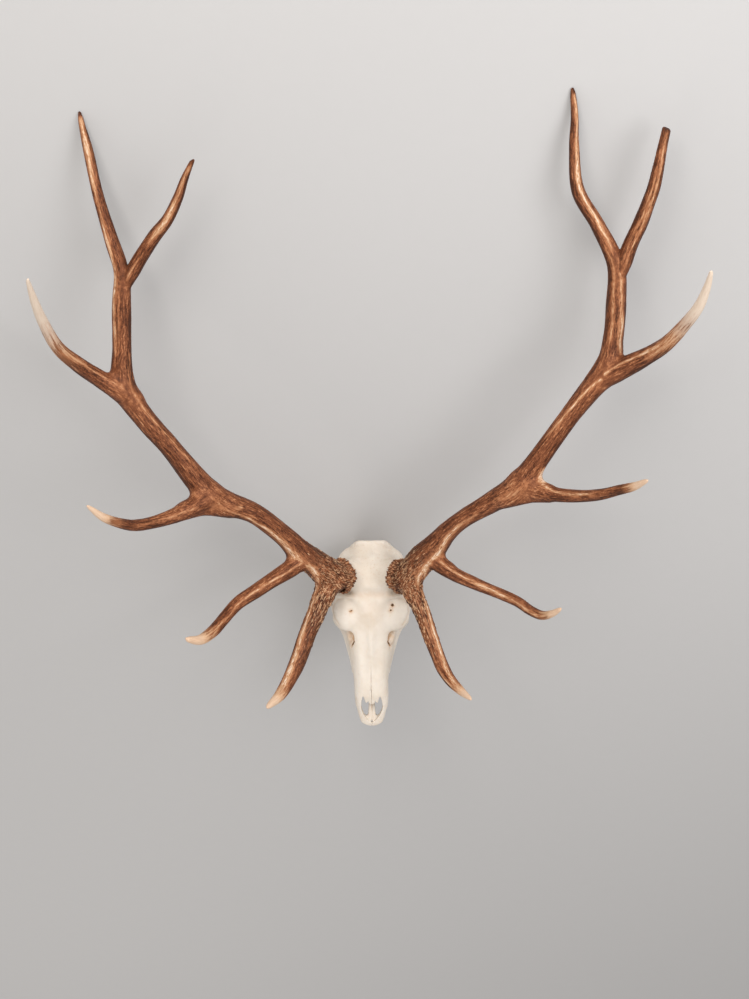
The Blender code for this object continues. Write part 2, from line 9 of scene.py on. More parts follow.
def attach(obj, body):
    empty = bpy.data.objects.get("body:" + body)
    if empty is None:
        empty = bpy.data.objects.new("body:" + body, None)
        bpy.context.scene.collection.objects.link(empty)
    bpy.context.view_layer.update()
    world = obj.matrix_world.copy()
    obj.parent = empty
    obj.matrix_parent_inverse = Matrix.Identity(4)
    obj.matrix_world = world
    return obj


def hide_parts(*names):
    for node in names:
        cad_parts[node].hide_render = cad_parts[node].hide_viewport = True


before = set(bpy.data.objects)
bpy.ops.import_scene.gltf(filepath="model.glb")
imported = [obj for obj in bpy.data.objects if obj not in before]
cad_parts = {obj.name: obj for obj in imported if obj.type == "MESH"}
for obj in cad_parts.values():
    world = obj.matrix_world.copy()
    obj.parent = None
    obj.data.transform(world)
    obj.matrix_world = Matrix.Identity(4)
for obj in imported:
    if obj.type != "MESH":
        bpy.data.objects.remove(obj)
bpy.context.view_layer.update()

rest = {
    "tilt": math.radians(-41.0),
    "shift": (0.003644, -0.490657, 0.0336),  # metres
    "cm": 0.01,
    "floor": 3.36,  # how far the floor is below the skull's origin, in cm
}
tiltTurn = np.array(Matrix.Rotation(rest["tilt"], 3, "X"))
far = 9.0  # a distance that counts as nowhere near, in cm
beyond = 99.0  # past every bound, in cm
sides = {"right": -1, "left": 1}


def toWorld(points):
    return (points * rest["cm"]) @ tiltTurn.T + np.array(rest["shift"])


def unit(vector):
    vector = np.asarray(vector, float)
    return vector / np.linalg.norm(vector)


def smoothStep(low, high, value):
    share = np.clip((value - low) / (high - low), 0, 1)
    return share * share * (3 - 2 * share)


def hump(value, width):  # 1 in the middle, fading to 0 on both sides
    return np.exp(-(value / width) ** 2)


def turned(degrees, axis="Z"):
    return Matrix.Rotation(math.radians(degrees), 3, axis)


def addObject(name, data):
    made = bpy.data.objects.new(name, data)
    bpy.context.scene.collection.objects.link(made)
    return made


def cornersAround(base, share):  # the eight grid points around each point, each with its weight
    for corner in np.ndindex(2, 2, 2):
        yield base + corner, np.prod(np.where(corner, share, 1 - share), axis=1)


def grain(points, seed):  # smooth noise from -1 to 1, one lump a unit
    base = np.floor(points).astype(np.int64)
    total = np.zeros(len(points))
    for corner, weight in cornersAround(base, smoothStep(0, 1, points - base)):
        # Large odd numbers shuffle the corner's place into an even spread of values
        spot = corner * (73856093, 19349663, 83492791)
        mixed = spot[:, 0] ^ spot[:, 1] ^ spot[:, 2] ^ (seed * 668265263)
        mixed = ((mixed ^ (mixed >> 13)) * 1274126177) & 0x7FFFFFFF
        mixed ^= mixed >> 15
        total += weight * ((mixed & 0xFFFF) / 32767.5 - 1)
    return total


class Block:  # a box of grid points, each with its distance to the surface
    def __init__(self, low, high, cell):
        self.low = np.array(low, float)
        self.cell = cell
        count = np.ceil((np.array(high) - self.low) / cell).astype(int) + 1
        self.values = np.full(tuple(count), far, np.float32)

    def part(self, low, high):  # the slices inside a box and the coordinates there
        low, high = ((np.array(spot) - self.low) / self.cell for spot in (low, high))
        first = np.clip(np.floor(low).astype(int), 0, self.values.shape)
        last = np.clip(np.ceil(high).astype(int) + 1, 0, self.values.shape)
        axes = []
        for i in range(3):
            along = self.low[i] + self.cell * np.arange(first[i], last[i])
            axes.append(along.astype(np.float32).reshape([-1 if j == i else 1 for j in range(3)]))
        return tuple(slice(a, b) for a, b in zip(first, last)), axes

    def add(self, shape, low, high, soft, cut=False):  # joined on, or cut away
        where, axes = self.part(low, high)
        sign = -1 if cut else 1
        if self.values[where].size:
            self.values[where] = sign * softMin(sign * self.values[where], shape(*axes), soft)


def sampleGrid(values, spots):  # the value between grid points
    spots = np.clip(spots, 0, np.array(values.shape) - 1.001)
    base = spots.astype(int)
    corners = cornersAround(base, spots - base)
    return sum(weight * values[tuple(corner.T)] for corner, weight in corners)


def softMin(one, two, soft):
    if soft <= 0:
        return np.minimum(one, two)
    near = np.maximum(soft - np.abs(one - two), 0) / soft
    return np.minimum(one, two) - near * near * (soft * 0.25)


def ellipsoid(centre, radii, turn=None):
    back = np.array(turn.inverted()) if turn else np.eye(3)

    def shape(x, y, z):
        x, y, z = x - centre[0], y - centre[1], z - centre[2]
        u, v, w = (back[i][0] * x + back[i][1] * y + back[i][2] * z for i in range(3))
        one, two = (np.sqrt((u / radii[0] ** power) ** 2 + (v / radii[1] ** power) ** 2
                            + (w / radii[2] ** power) ** 2) for power in (1, 2))
        return one * (one - 1) / np.maximum(two, 1e-4)

    return shape


def roundCone(start, end):  # both are x, y, z and radius
    way = [float(e - s) for s, e in zip(start, end)]
    length = max(way[0] ** 2 + way[1] ** 2 + way[2] ** 2, 1e-6)

    def shape(x, y, z):
        x, y, z = x - start[0], y - start[1], z - start[2]
        share = np.clip((x * way[0] + y * way[1] + z * way[2]) / length, 0, 1)
        gap = (x - share * way[0]) ** 2 + (y - share * way[1]) ** 2 + (z - share * way[2]) ** 2
        return np.sqrt(gap) - (start[3] + share * way[3])

    return shape


def plane(spot, way, back=0):  # all that lies behind a flat cut
    def shape(x, y, z):
        rise = (x - spot[0]) * way[0] + (y - spot[1]) * way[1] + (z - spot[2]) * way[2]
        return rise - back

    return shape


def slab(low, high):  # a plain block between two corners
    def shape(x, y, z):
        gaps = [np.maximum(a - v, v - b) for v, a, b in zip((x, y, z), low, high)]
        return np.maximum(np.maximum(gaps[0], gaps[1]), gaps[2])

    return shape


floorWay = (0, math.sin(rest["tilt"]), math.cos(rest["tilt"]))
underFloor = plane((0, 0, 0), floorWay, -rest["floor"])


def prism(outline, low, high):  # an upright block with a flat outline seen from above
    corners = np.array(outline, float)

    def shape(x, y, z):
        x, y = x + 0 * y, y + 0 * x
        gap = np.full(x.shape, far)
        inside = np.zeros(x.shape, bool)
        for start, end in zip(corners, np.roll(corners, -1, axis=0)):
            way = end - start
            u, v = x - start[0], y - start[1]
            share = np.clip((u * way[0] + v * way[1]) / (way @ way), 0, 1)
            gap = np.minimum(gap, np.hypot(u - share * way[0], v - share * way[1]))
            passes = (start[1] > y) != (end[1] > y)
            inside ^= passes & (u < way[0] * v / (way[1] or 1))
        return np.maximum(np.where(inside, -gap, gap), np.maximum(z - high, low - z))

    return shape


def loft(stations, endSoft):  # cross-sections from back to front
    table = np.array(sorted(stations))

    def shape(x, y, z):
        half, top, bottom, square, taper = (
            np.interp(y.ravel(), table[:, 0], table[:, i]).astype(np.float32).reshape(y.shape)
            for i in range(1, 6)
        )
        middle, tall = (top + bottom) / 2, (top - bottom) / 2
        up = np.clip((z - middle) / tall, -1, 1)
        wide = half * (1 - taper * (up + 1) / 2)
        norm = (np.abs(x) / wide) ** square + (np.abs(z - middle) / tall) ** square
        norm = norm ** (1 / square)
        reach = np.sqrt(x ** 2 + (z - middle) ** 2)
        distance = reach * (1 - 1 / np.maximum(norm, 1e-3))
        ends = np.maximum(y - table[-1, 0], table[0, 0] - y)
        return -softMin(-distance, -ends, endSoft)

    return shape


def tube(points):
    cones = [roundCone(start, end) for start, end in zip(points, points[1:])]

    def shape(x, y, z):
        nearest = cones[0](x, y, z)
        for cone in cones[1:]:
            nearest = np.minimum(nearest, cone(x, y, z))
        return nearest

    return shape


def walk(route, every):  # evenly spaced points on a smooth curve, each with its radius
    knots = np.array(route)
    ends = np.vstack([2 * knots[0] - knots[1], knots, 2 * knots[-1] - knots[-2]])
    steps = np.arange(24)[:, None] / 24
    fine = []
    for one, two, three, four in zip(ends, ends[1:], ends[2:], ends[3:]):
        fine.append(0.5 * (2 * two + (three - one) * steps
                           + (2 * one - 5 * two + 4 * three - four) * steps ** 2
                           + (3 * two - one - 3 * three + four) * steps ** 3))
    fine = np.vstack(fine + [knots[-1:]])
    lengths = np.linalg.norm(np.diff(fine[:, :3], axis=0), axis=1)
    along = np.concatenate([[0], np.cumsum(lengths)])
    wanted = np.linspace(0, along[-1], max(4, round(along[-1] / every)) + 1)
    return np.array([np.interp(wanted, along, fine[:, i]) for i in range(4)]).T, wanted


def addTube(block, points, soft, cut=False):
    if len(points) > 2:
        points, _ = walk(points, 0.5)
    spots = np.array([point[:3] for point in points])
    reach = max(point[3] for point in points) + soft + 0.5
    block.add(tube(points), spots.min(0) - reach, spots.max(0) + reach, soft, cut)


def addLump(block, centre, radii, soft, turn=None, cut=False):
    reach = max(radii) + soft + 0.5
    shape = ellipsoid(centre, radii, turn)
    block.add(shape, np.array(centre) - reach, np.array(centre) + reach, soft, cut)


def surfaceNet(block):  # one point in each cell that the surface crosses, joined into quads
    values = block.values
    inside = values < 0
    count = np.zeros([n - 1 for n in values.shape], np.uint8)
    corners = list(np.ndindex(2, 2, 2))
    size = count.shape
    for a, b, c in corners:
        count += inside[a:a + size[0], b:b + size[1], c:c + size[2]]
    cells = np.argwhere((count > 0) & (count < 8))
    number = np.full(size, -1, np.int32)
    number[tuple(cells.T)] = np.arange(len(cells))
    total = np.zeros((len(cells), 3))
    crossings = np.zeros(len(cells))
    for one in corners:
        for axis in range(3):
            if one[axis]:
                continue
            two = tuple(1 if i == axis else one[i] for i in range(3))
            first = values[tuple((cells + one).T)]
            second = values[tuple((cells + two).T)]
            crossed = (first < 0) != (second < 0)
            share = first / np.where(crossed, first - second, 1)
            spot = cells + np.array(one, float)
            spot[:, axis] += share
            total += spot * crossed[:, None]
            crossings += crossed
    points = block.low + block.cell * total / crossings[:, None]
    quads = []
    for axis in range(3):
        low = [slice(1, None)] * 3
        low[axis] = slice(None, -1)
        high = list(low)
        high[axis] = slice(1, None)
        one, two = inside[tuple(low)], inside[tuple(high)]
        edges = np.argwhere(one != two) + [0 if i == axis else 1 for i in range(3)]
        edges = edges[(edges < np.array(size)).all(1)]
        leaving = inside[tuple(edges.T)]
        u, v = (axis + 1) % 3, (axis + 2) % 3
        ring = []
        for du, dv in ((0, 0), (1, 0), (1, 1), (0, 1)):
            cell = edges.copy()
            cell[:, u] -= du
            cell[:, v] -= dv
            ring.append(number[tuple(cell.T)])
        ring = np.array(ring).T
        quads.append(np.where(leaving[:, None], ring, ring[:, ::-1]))
    return points, np.concatenate(quads)


def hollowness(block, points, reach, skip):  # how much of the space around each point is solid
    solid = (block.values[::skip, ::skip, ::skip] < 0).astype(np.float32)
    steps = max(1, round(reach / (block.cell * skip)))
    for axis in range(3):
        rim = [(steps + 1, steps) if i == axis else (0, 0) for i in range(3)]
        sums = np.cumsum(np.pad(solid, rim, mode="edge"), axis=axis, dtype=np.float32)
        ahead = np.take(sums, range(2 * steps + 1, sums.shape[axis]), axis=axis)
        behind = np.take(sums, range(0, sums.shape[axis] - 2 * steps - 1), axis=axis)
        solid = (ahead - behind) / (2 * steps + 1)
    return sampleGrid(solid, (points - block.low) / (block.cell * skip))


def rawMesh(name, points, faces, most):  # a plain mesh, thinned if it has too many triangles
    mesh = bpy.data.meshes.new(name)
    mesh.from_pydata(points.tolist(), [], faces.tolist())
    mesh.update()
    if 2 * len(faces) > most:
        thick = addObject(name, mesh)
        thick.modifiers.new("thin", "DECIMATE").ratio = most / (2 * len(faces))
        graph = bpy.context.evaluated_depsgraph_get()
        thinned = bpy.data.meshes.new_from_object(thick.evaluated_get(graph))
        bpy.data.objects.remove(thick)
        bpy.data.meshes.remove(mesh)
        mesh = thinned
        mesh.name = name
    return mesh


def readMesh(mesh):  # its points and its normals
    found = []
    for source, name in ((mesh.vertices, "co"), (mesh.vertex_normals, "vector")):
        values = np.empty(len(mesh.vertices) * 3, np.float32)
        source.foreach_get(name, values)
        found.append(values.reshape(-1, 3).astype(float))
    return found


def finishPiece(mesh, points, material, marks):  # points in cm in the skull's frame
    mesh.vertices.foreach_set("co", toWorld(points).astype(np.float32).ravel())
    for name, values in marks.items():
        kind, key = ("FLOAT_VECTOR", "vector") if values.ndim == 2 else ("FLOAT", "value")
        layer = mesh.attributes.new(name, kind, "POINT")
        layer.data.foreach_set(key, values.astype(np.float32).ravel())
    mesh.materials.clear()
    mesh.materials.append(material)
    mesh.shade_smooth()
    mesh.update()
    return addObject(mesh.name, mesh)


class Wire:  # a socket that can be used in sums
    def __init__(self, tree, socket=None):
        self.tree = tree
        self.socket = socket

    def node(self, kind, settings=None, inputs=None, output=0):
        made = self.tree.nodes.new(kind)
        for name, setting in (settings or {}).items():
            setattr(made, name, setting)
        for name, given in (inputs or {}).items():
            fill(made.inputs[name], given)
        return Wire(self.tree, made.outputs[output])

    def also(self, name):  # another output of the same node
        return Wire(self.tree, self.socket.node.outputs[name])

    def sum(self, operation, *values):
        return self.node("ShaderNodeMath", {"operation": operation}, dict(enumerate(values)))

    def __add__(self, other):
        return self.sum("ADD", self, other)

    def __radd__(self, other):
        return self.sum("ADD", other, self)

    def __sub__(self, other):
        return self.sum("SUBTRACT", self, other)

    def __rsub__(self, other):
        return self.sum("SUBTRACT", other, self)

    def __mul__(self, other):
        return self.sum("MULTIPLY", self, other)

    def __rmul__(self, other):
        return self.sum("MULTIPLY", other, self)

    def __abs__(self):
        return self.sum("ABSOLUTE", self)

    def between(self, low, high):  # 0 below low, 1 above high, eased
        inputs = {"Value": self, "From Min": low, "From Max": high}
        return self.node("ShaderNodeMapRange", {"interpolation_type": "SMOOTHSTEP"}, inputs)

    def marks(self, *names, output=2):  # the mesh's own values, one a point
        kind = "ShaderNodeAttribute"
        return [self.node(kind, {"attribute_name": name}, output=output) for name in names]

    def noise(self, scale, detail=3.0, rough=0.55, warp=0.0):
        inputs = {"Vector": self, "Scale": scale, "Detail": detail, "Roughness": rough,
                  "Distortion": warp}
        return self.node("ShaderNodeTexNoise", None, inputs)

    def streaks(self, across, along, detail, rough, warp=0.0):  # noise drawn out along z
        inputs = {0: self, 1: (across, across, along)}
        stretched = self.node("ShaderNodeVectorMath", {"operation": "MULTIPLY"}, inputs)
        return stretched.noise(1.0, detail, rough, warp)

    def mix(self, one, two):  # self is the share of the second colour
        inputs = {0: self, 6: one, 7: two}
        return self.node("ShaderNodeMix", {"data_type": "RGBA"}, inputs, 2)

    def bump(self, strength, distance):  # self is the height
        inputs = {"Strength": strength, "Distance": distance, "Height": self}
        return self.node("ShaderNodeBump", None, inputs)


def fill(socket, given):  # a link or a plain value, and a colour has its alpha added
    if isinstance(given, Wire):
        given.tree.links.new(given.socket, socket)
    elif socket.type == "RGBA":
        socket.default_value = (*given, 1)
    else:
        socket.default_value = given


def layered(colour, look, coats):  # each coat is its share and the name of its colour
    for share, tone in coats:
        colour = share.mix(colour, look[tone])
    return colour


def startMaterial(name):
    material = bpy.data.materials.new(name)
    material.use_nodes = True
    tree = material.node_tree
    place = Wire(tree).node("ShaderNodeTexCoord", output=3)
    return material, tree.nodes["Principled BSDF"], place


def plug(shader, **given):
    for name, value in given.items():
        fill(shader.inputs[name.replace("_", " ")], value)


boneLook = {
    "cream": (0.67, 0.585, 0.49),
    "pale": (0.75, 0.675, 0.59),
    "warm": (0.64, 0.505, 0.375),
    "tan": (0.50, 0.29, 0.13),
    "brown": (0.17, 0.075, 0.035),
    "seamWidth": 0.05,  # cm
    "seamWaver": 0.16,
    "roughness": 0.58,
}


def makeBone():
    look = boneLook
    material, shader, place = startMaterial("bleachedBone")
    hollow, stainAndShade, porous = place.marks("hollow", "stainAndShade", "porous")
    seam, seamShows = place.marks("seam", "seamShows")
    cloud = place.noise(14.0, 3.0, 0.6).between(0.35, 0.68)
    mottle = place.noise(75.0, 4.0, 0.65)
    waver = (place.noise(260.0, 2.0) - 0.5) * look["seamWaver"]
    line = 1 - abs(seam + waver).between(look["seamWidth"] * 0.35, look["seamWidth"] * 1.5)
    line = line * seamShows
    pits = place.noise(420.0, 2.0, 0.5).between(0.60, 0.72) * porous
    colour = layered(cloud.mix(look["cream"], look["pale"]), look, (
        (mottle.between(0.52, 0.80) * 0.35, "warm"),
        # Painted shade: warmer and darker in hollows, by how enclosed each point is
        (hollow.between(0.56, 0.80) * 0.75, "warm"),
        # The stain mark is tan stain, with painted shade in the deep places and on the brow
        (stainAndShade * mottle.between(0.15, 0.60), "tan"),
        (stainAndShade.between(0.70, 1.0) * 0.9, "brown"),
        (line * 0.8, "brown"),
        (pits * 0.55, "tan"),
    ))
    height = place.noise(190.0, 4.0, 0.6) * 0.35 + mottle * 0.65 - line * 0.8 - pits * 0.9
    plug(shader, Base_Color=colour, Roughness=look["roughness"] + mottle * 0.14 + stainAndShade * 0.1,
         Normal=height.bump(0.35, 0.0011), Subsurface_Weight=0.08,
         Subsurface_Radius=(0.006, 0.004, 0.0025))
    return material


# Cross-sections: y, half width, top, bottom, squareness, how much narrower the top is
skull = {
    "cell": 0.14,  # cm
    "quickCell": 1.5,
    "mostTriangles": 195000,
    "stations": [
        (8, 3.4, 12.2, 6.8, 2.2, 0), (7, 4.6, 13.5, 5.6, 2.2, 0), (3.5, 5.7, 15.2, 5, 2.2, 0),
        (0, 5.5, 16.5, 5.2, 2.3, 0), (-3, 5.3, 16.8, 5.6, 2.4, 0), (-6, 6, 16.4, 5.5, 2.4, 0),
        (-9, 6.4, 15.6, 4, 2.3, 0.05), (-13, 6.6, 14.3, 2.4, 2.15, 0.06),
        (-17, 5.85, 13, 1.8, 2.15, 0.06), (-20, 5.2, 12.2, 1.8, 2.25, 0.07),
        (-23, 4.7, 11.4, 2, 2.4, 0.09), (-26, 4.4, 10.6, 2.8, 2.6, 0.12),
        (-29.5, 4.35, 9.4, 3, 2.7, 0.12), (-32, 4.1, 7.6, 2.8, 2.8, 0.1),
        (-35, 3.3, 5.2, 2.6, 2.6, 0.1), (-36.6, 2.5, 4.2, 2.7, 2.4, 0),
        (-37.5, 1.3, 3.7, 2.9, 2.2, 0),
    ],
    "passage": [
        (-32.7, 1.9, 6.6, 4.2, 2.4, 0), (-31.8, 2.5, 7.2, 4.1, 2.4, 0),
        (-30, 2.8, 7.9, 4.1, 2.4, 0), (-29, 2.9, 8.4, 4.2, 2.4, 0), (-26, 2.9, 9.6, 4.4, 2.4, 0.1),
        (-21, 3.2, 11, 4.6, 2.4, 0.1), (-16, 3.6, 12, 5.2, 2.4, 0.1),
        (-12.5, 2.6, 11.4, 6.6, 2.4, 0),
    ],
    "burrCentre": (6.7, 0.1, 18.8),
    "burrAxis": (0.55, -0.07, 0.83),
    "pedicleRoot": (4.2, 0.5, 14.0),
    "pedicleRadius": 2.75,
    "rim": {"centre": (8.2, -8.7, 10.4), "axis": (0.95, -0.25, 0.18), "radius": 3.15, "thick": 0.72,
            "spokes": 24},
    "slitSoft": 0.08,
    "ledgeHeight": 1.75,
    "gap": 0.03,  # between the bone and the antlers
    "noseScroll": [(1.8, -27.5, 6.8, 0.42), (1.9, -22, 7.4, 0.75), (2, -16, 8, 0.9)],
}
# Solid parts of the left half, each a run of x, y, z and radius, with how softly it joins
skullRidges = {
    "crest": ([(-2.3, 7.5, 12.8, 0.65), (2.3, 7.5, 12.8, 0.65), (3.2, 7.35, 12.4, 0.65),
               (4, 6.8, 11.2, 0.65), (4.6, 6, 10, 0.6), (5.8, 4.8, 8.9, 0.6),
               (6.8, 3.4, 8.2, 0.6)], 0.7),
    "base": ([(0, 6.3, 5.3, 1.4), (0, 3, 4.9, 1.5), (0, -2, 5.2, 1.2), (0, -6, 5.8, 1)], 1),
    "bar": ([(4.6, 0, 13, 1.6), (6.2, -2.4, 12.2, 1), (7.9, -4.9, 11.8, 0.65),
             (9, -6.4, 10.6, 0.65)], 0.6),
    "browEdge": ([(3.2, -5.3, 15.3, 0.5), (5.2, -5.1, 14.9, 0.5), (7.2, -5, 13.8, 0.45),
                  (8.5, -5.2, 12.7, 0.4), (9.55, -7, 11.6, 0.4), (9.3, -8.8, 11.8, 0.4),
                  (8.75, -10.4, 11.7, 0.35), (7.5, -12.2, 11.2, 0.35)], 0.6),
    "noseRidge": ([(0, -10, 14.7, 0.4), (0, -14, 13.55, 0.4), (0, -19, 11.9, 0.4)], 1.2),
    "boss": ([(0, 3.4, 14.3, 1.2), (0, 2.2, 15, 1.2)], 1.6),
    "arch": ([(7.7, -11.6, 7.5, 0.9), (8.6, -7.7, 6.9, 0.7), (8.6, -2.5, 7.3, 0.62),
              (7.4, 1.6, 8, 0.85), (6, 3.4, 8.6, 1.2)], 0.8),
    "cheek": ([(7.6, -11.4, 7.6, 1), (5.9, -14.6, 6.8, 1), (4.9, -18.5, 5.8, 0.8),
               (4.2, -22, 5, 0.6)], 1.2),
    "ledge": ([(3.4, -23.9, 2.9, 1.3), (3.9, -18, 2.8, 1.5), (4.3, -12, 2.8, 1.5),
               (4.2, -8.7, 3.2, 1.2)], 0.9),
    "jugular": ([(4.5, 5.2, 7.2, 1.3), (4.3, 5.6, 4, 1), (4, 5.7, 1.6, 0.75),
                 (3.9, 5.6, 0.6, 0.6)], 0.8),
    "earOpening": ([(5, 2.2, 6.6, 0.75), (6.4, 2.4, 7.6, 0.7)], 0.5),
    "pterygoid": ([(1.95, -2.4, 4.6, 0.5), (1.95, -5, 3.6, 0.45), (1.8, -7.2, 3.6, 0.4)], 0.8),
}
# Lumps and hollows: where, how big, how softly they join, and one lean in degrees
skullLumps = {
    "squamosal": ((5.3, 2.5, 8.7), (2, 3, 3.3), 2.2),
    "shoulder": ((5.4, -8.9, 11.9), (4, 4.6, 3.3), 0.9),
    "bulla": ((3.3, 2.8, 4.7), (1.2, 1.7, 1.4), 0.5),
    "pterygoidWing": ((1.95, -4.6, 4.4), (0.42, 3.2, 2.2), 0.5),
    "condyle": ((2.2, 6.2, 6.4), (1.25, 1.35, 1.85), 0.4, -20),
}
skullHollows = {
    "orbit": ((9.2, -8.9, 10.4), (3.2, 2.6, 2.5), 0.25),
    "temporal": ((8, -1.2, 9.8), (1.9, 2.8, 2.2), 0.9),
    "brainCase": ((0, 1.2, 10.6), (4.2, 5.8, 4.2), 0.4),
    "foreheadDip": ((0, -4.6, 18), (7.5, 1.7, 2.45), 1.2),
    "foreheadMiddle": ((0, -6.8, 17.5), (1.5, 2.6, 2), 1.2),
    "lacrimalPit": ((5.45, -14.95, 11.75), (1.5, 1.7, 1.5), 0.22),
    "browDish": ((4.95, -7.7, 16.35), (1.3, 1.4, 1.15), 0.4),
    "glenoid": ((5.8, -0.8, 6), (1.9, 1.3, 0.8), 0.6),
}
# Open ways, each a run of x, y, z and radius
skullHoles = {
    "spine": ([(0, 10.5, 7, 1.75), (0, 7.8, 7.7, 1.65), (0, 4, 9, 1.8)], 0.3),
    "throat": ([(0, -3.2, 3, 1.45), (0, -8, 4, 1.5), (0, -13.5, 7, 1.5)], 0.4),
    "vault": ([(0, -6, 0.4, 2.6), (0, -12, 0.6, 2.8), (0, -22, 0.8, 2.4), (0, -31, 1, 1.6)], 0.6),
    "nasalSide": ([(2.4, -14.5, 15.2, 1.3), (1.9, -17, 14, 1.3), (1.75, -20.5, 12.95, 1.2),
                   (1.75, -24, 12.2, 1.1)], 0.9),
    "cheekHole": ([(5.4, -20.6, 5.8, 0.36), (4.4, -19.9, 6.2, 0.32), (3.9, -18.5, 6.6, 0.3)], 0.3),
    "opticHole": ([(7, -7.6, 10.2, 0.5), (4.6, -5.6, 9.8, 0.42)], 0.3),
    "earHole": ([(7.4, 2.5, 8.3, 0.4), (5.4, 2.3, 6.9, 0.38)], 0.2),
    "jawHole": ([(5, -3.2, 5.8, 0.42), (4.2, -2.2, 7.6, 0.4)], 0.3),
    "palateHole": ([(1.6, -15.2, 4.4, 0.3), (1.6, -14.4, 6.4, 0.3)], 0.2),
    "frontSlit": ([(0, -31, 4.1, 0.14), (0, -33.4, 4.1, 0.14), (0, -34.6, 4.2, 0.1),
                   (0, -37.7, 3.8, 0.12)], 0.05),
    "frontHole": ([(0, -36.3, 5, 0.24), (0, -36.3, 2, 0.24)], 0.1),
    "nasalSeam": ([(0, -23, 11.6, 0.08), (0, -27, 10.45, 0.14), (0, -29.5, 9.55, 0.15),
                   (0, -31.3, 8.9, 0.15)], 0.2),
}
# The openings beside the nose's tip seen from above, and what is cut away before the nasal bones
noseOpening = [
    (2.2, -29.2), (2.75, -30.6), (2.66, -32), (2.4, -33.3), (1.85, -34.5), (1.5, -34.85),
    (1.05, -34.8), (0.86, -34.3), (0.76, -32.2), (0.74, -29.2),
]
noseFront = [
    (2.05, -29.4), (1.72, -30.3), (1.42, -31.2), (1.15, -31.15), (0.86, -30.7), (0.72, -31.2),
    (0.4, -31.6), (-1, -31.6), (-1, -37), (0.6, -36.2), (1.4, -35.3), (2, -34.4), (2.48, -33.2),
    (2.6, -32), (2.45, -30.6),
]
# Thin openings in front of the eye: where, how wide, long and deep, and how far turned
skullSlits = {
    "vacuity": ((4.3, -15, 11.5), (0.26, 1.1, 1), -12),
    "pitSlit": ((4.6, -17.3, 11.5), (0.2, 1.75, 1.55), 27),
}
# Small blood-vessel holes over the eyes, which differ from side to side
browHoles = {
    "left": [(5, -7.2, 16.4, 0.3), (5.1, -7.1, 14.9, 0.3), (5.2, -7, 13.4, 0.25)],
    "leftSmall": [(4.7, -8.4, 16, 0.2), (4.7, -8.3, 14.8, 0.2), (4.8, -8.2, 14, 0.16)],
}
browSlit = ((-4.76, -8.47, 15.2), (0.45, 0.15, 0.8), 28)
browSpurs = [
    ((-9.6, -7.25, 11.7), (0.45, 0.32, 0.45)), ((-8.65, -4.75, 12.6), (0.6, 0.45, 0.45)),
    ((7.75, -12.3, 11), (0.5, 0.42, 0.4)), ((-7.35, -12.6, 10.9), (0.45, 0.4, 0.4)),
    ((-8.9, -10.4, 10.9), (0.3, 0.35, 0.3)), ((9.2, -6.2, 11.8), (0.35, 0.35, 0.35)),
]
# The back edge of the skull is fuller on its left
leftCrest = [
    (3, 7.2, 12.5, 0.55), (4.2, 6.7, 11.9, 0.5), (5.1, 5.9, 10.9, 0.5), (6, 4.9, 9.7, 0.5),
    (6.7, 3.75, 8.8, 0.5),
]
# Seams between the bones of the left half: across-and-along points seen from above, or
# along-and-up points seen from the side
topSeams = [
    [(0, -30.5), (0, -12.2)],
    [(0, -12.2), (0, 2.6)],
    [(0, -12.2), (1.3, -12.6), (2.3, -14.4), (3.2, -16.4)],
    [(3.2, -16.4), (3.25, -20), (3.05, -24), (2.75, -27), (2.8, -30.2)],
    [(0, 2.6), (1.4, 3.1), (2.6, 2.7), (4.4, 3.4)],
]
browRim = [[(6.6, -5.6), (7.9, -5.9), (8.8, -7.2), (8.95, -8.8), (8.5, -10.4), (7.5, -11.9)]]
sideSeams = [
    [(-23.5, 11), (-26.2, 7.4), (-28.4, 5.4), (-28.8, 2.4)],
    [(-11.8, 6.6), (-14.4, 7.6), (-17.2, 9)],
    [(-15.8, 7.6), (-13.6, 5.6), (-9.6, 5.9)],
    [(-2.8, 7.6), (-0.6, 10.6), (2.6, 11.4), (5.2, 9.8)],
]


def seamDistance(points, lines):  # signed, with the side of the nearest line as its sign
    best = np.full(len(points), far)
    for line in lines:
        for start, end in zip(line, line[1:]):
            start, way = np.array(start), np.array(end) - np.array(start)
            apart = points - start
            share = np.clip(apart @ way / (way @ way), 0, 1)
            gap = apart - share[:, None] * way
            length = np.linalg.norm(gap, axis=1)
            side = np.where(way[0] * apart[:, 1] - way[1] * apart[:, 0] < 0, -1.0, 1.0)
            best = np.where(length < np.abs(best), length * side, best)
    return best


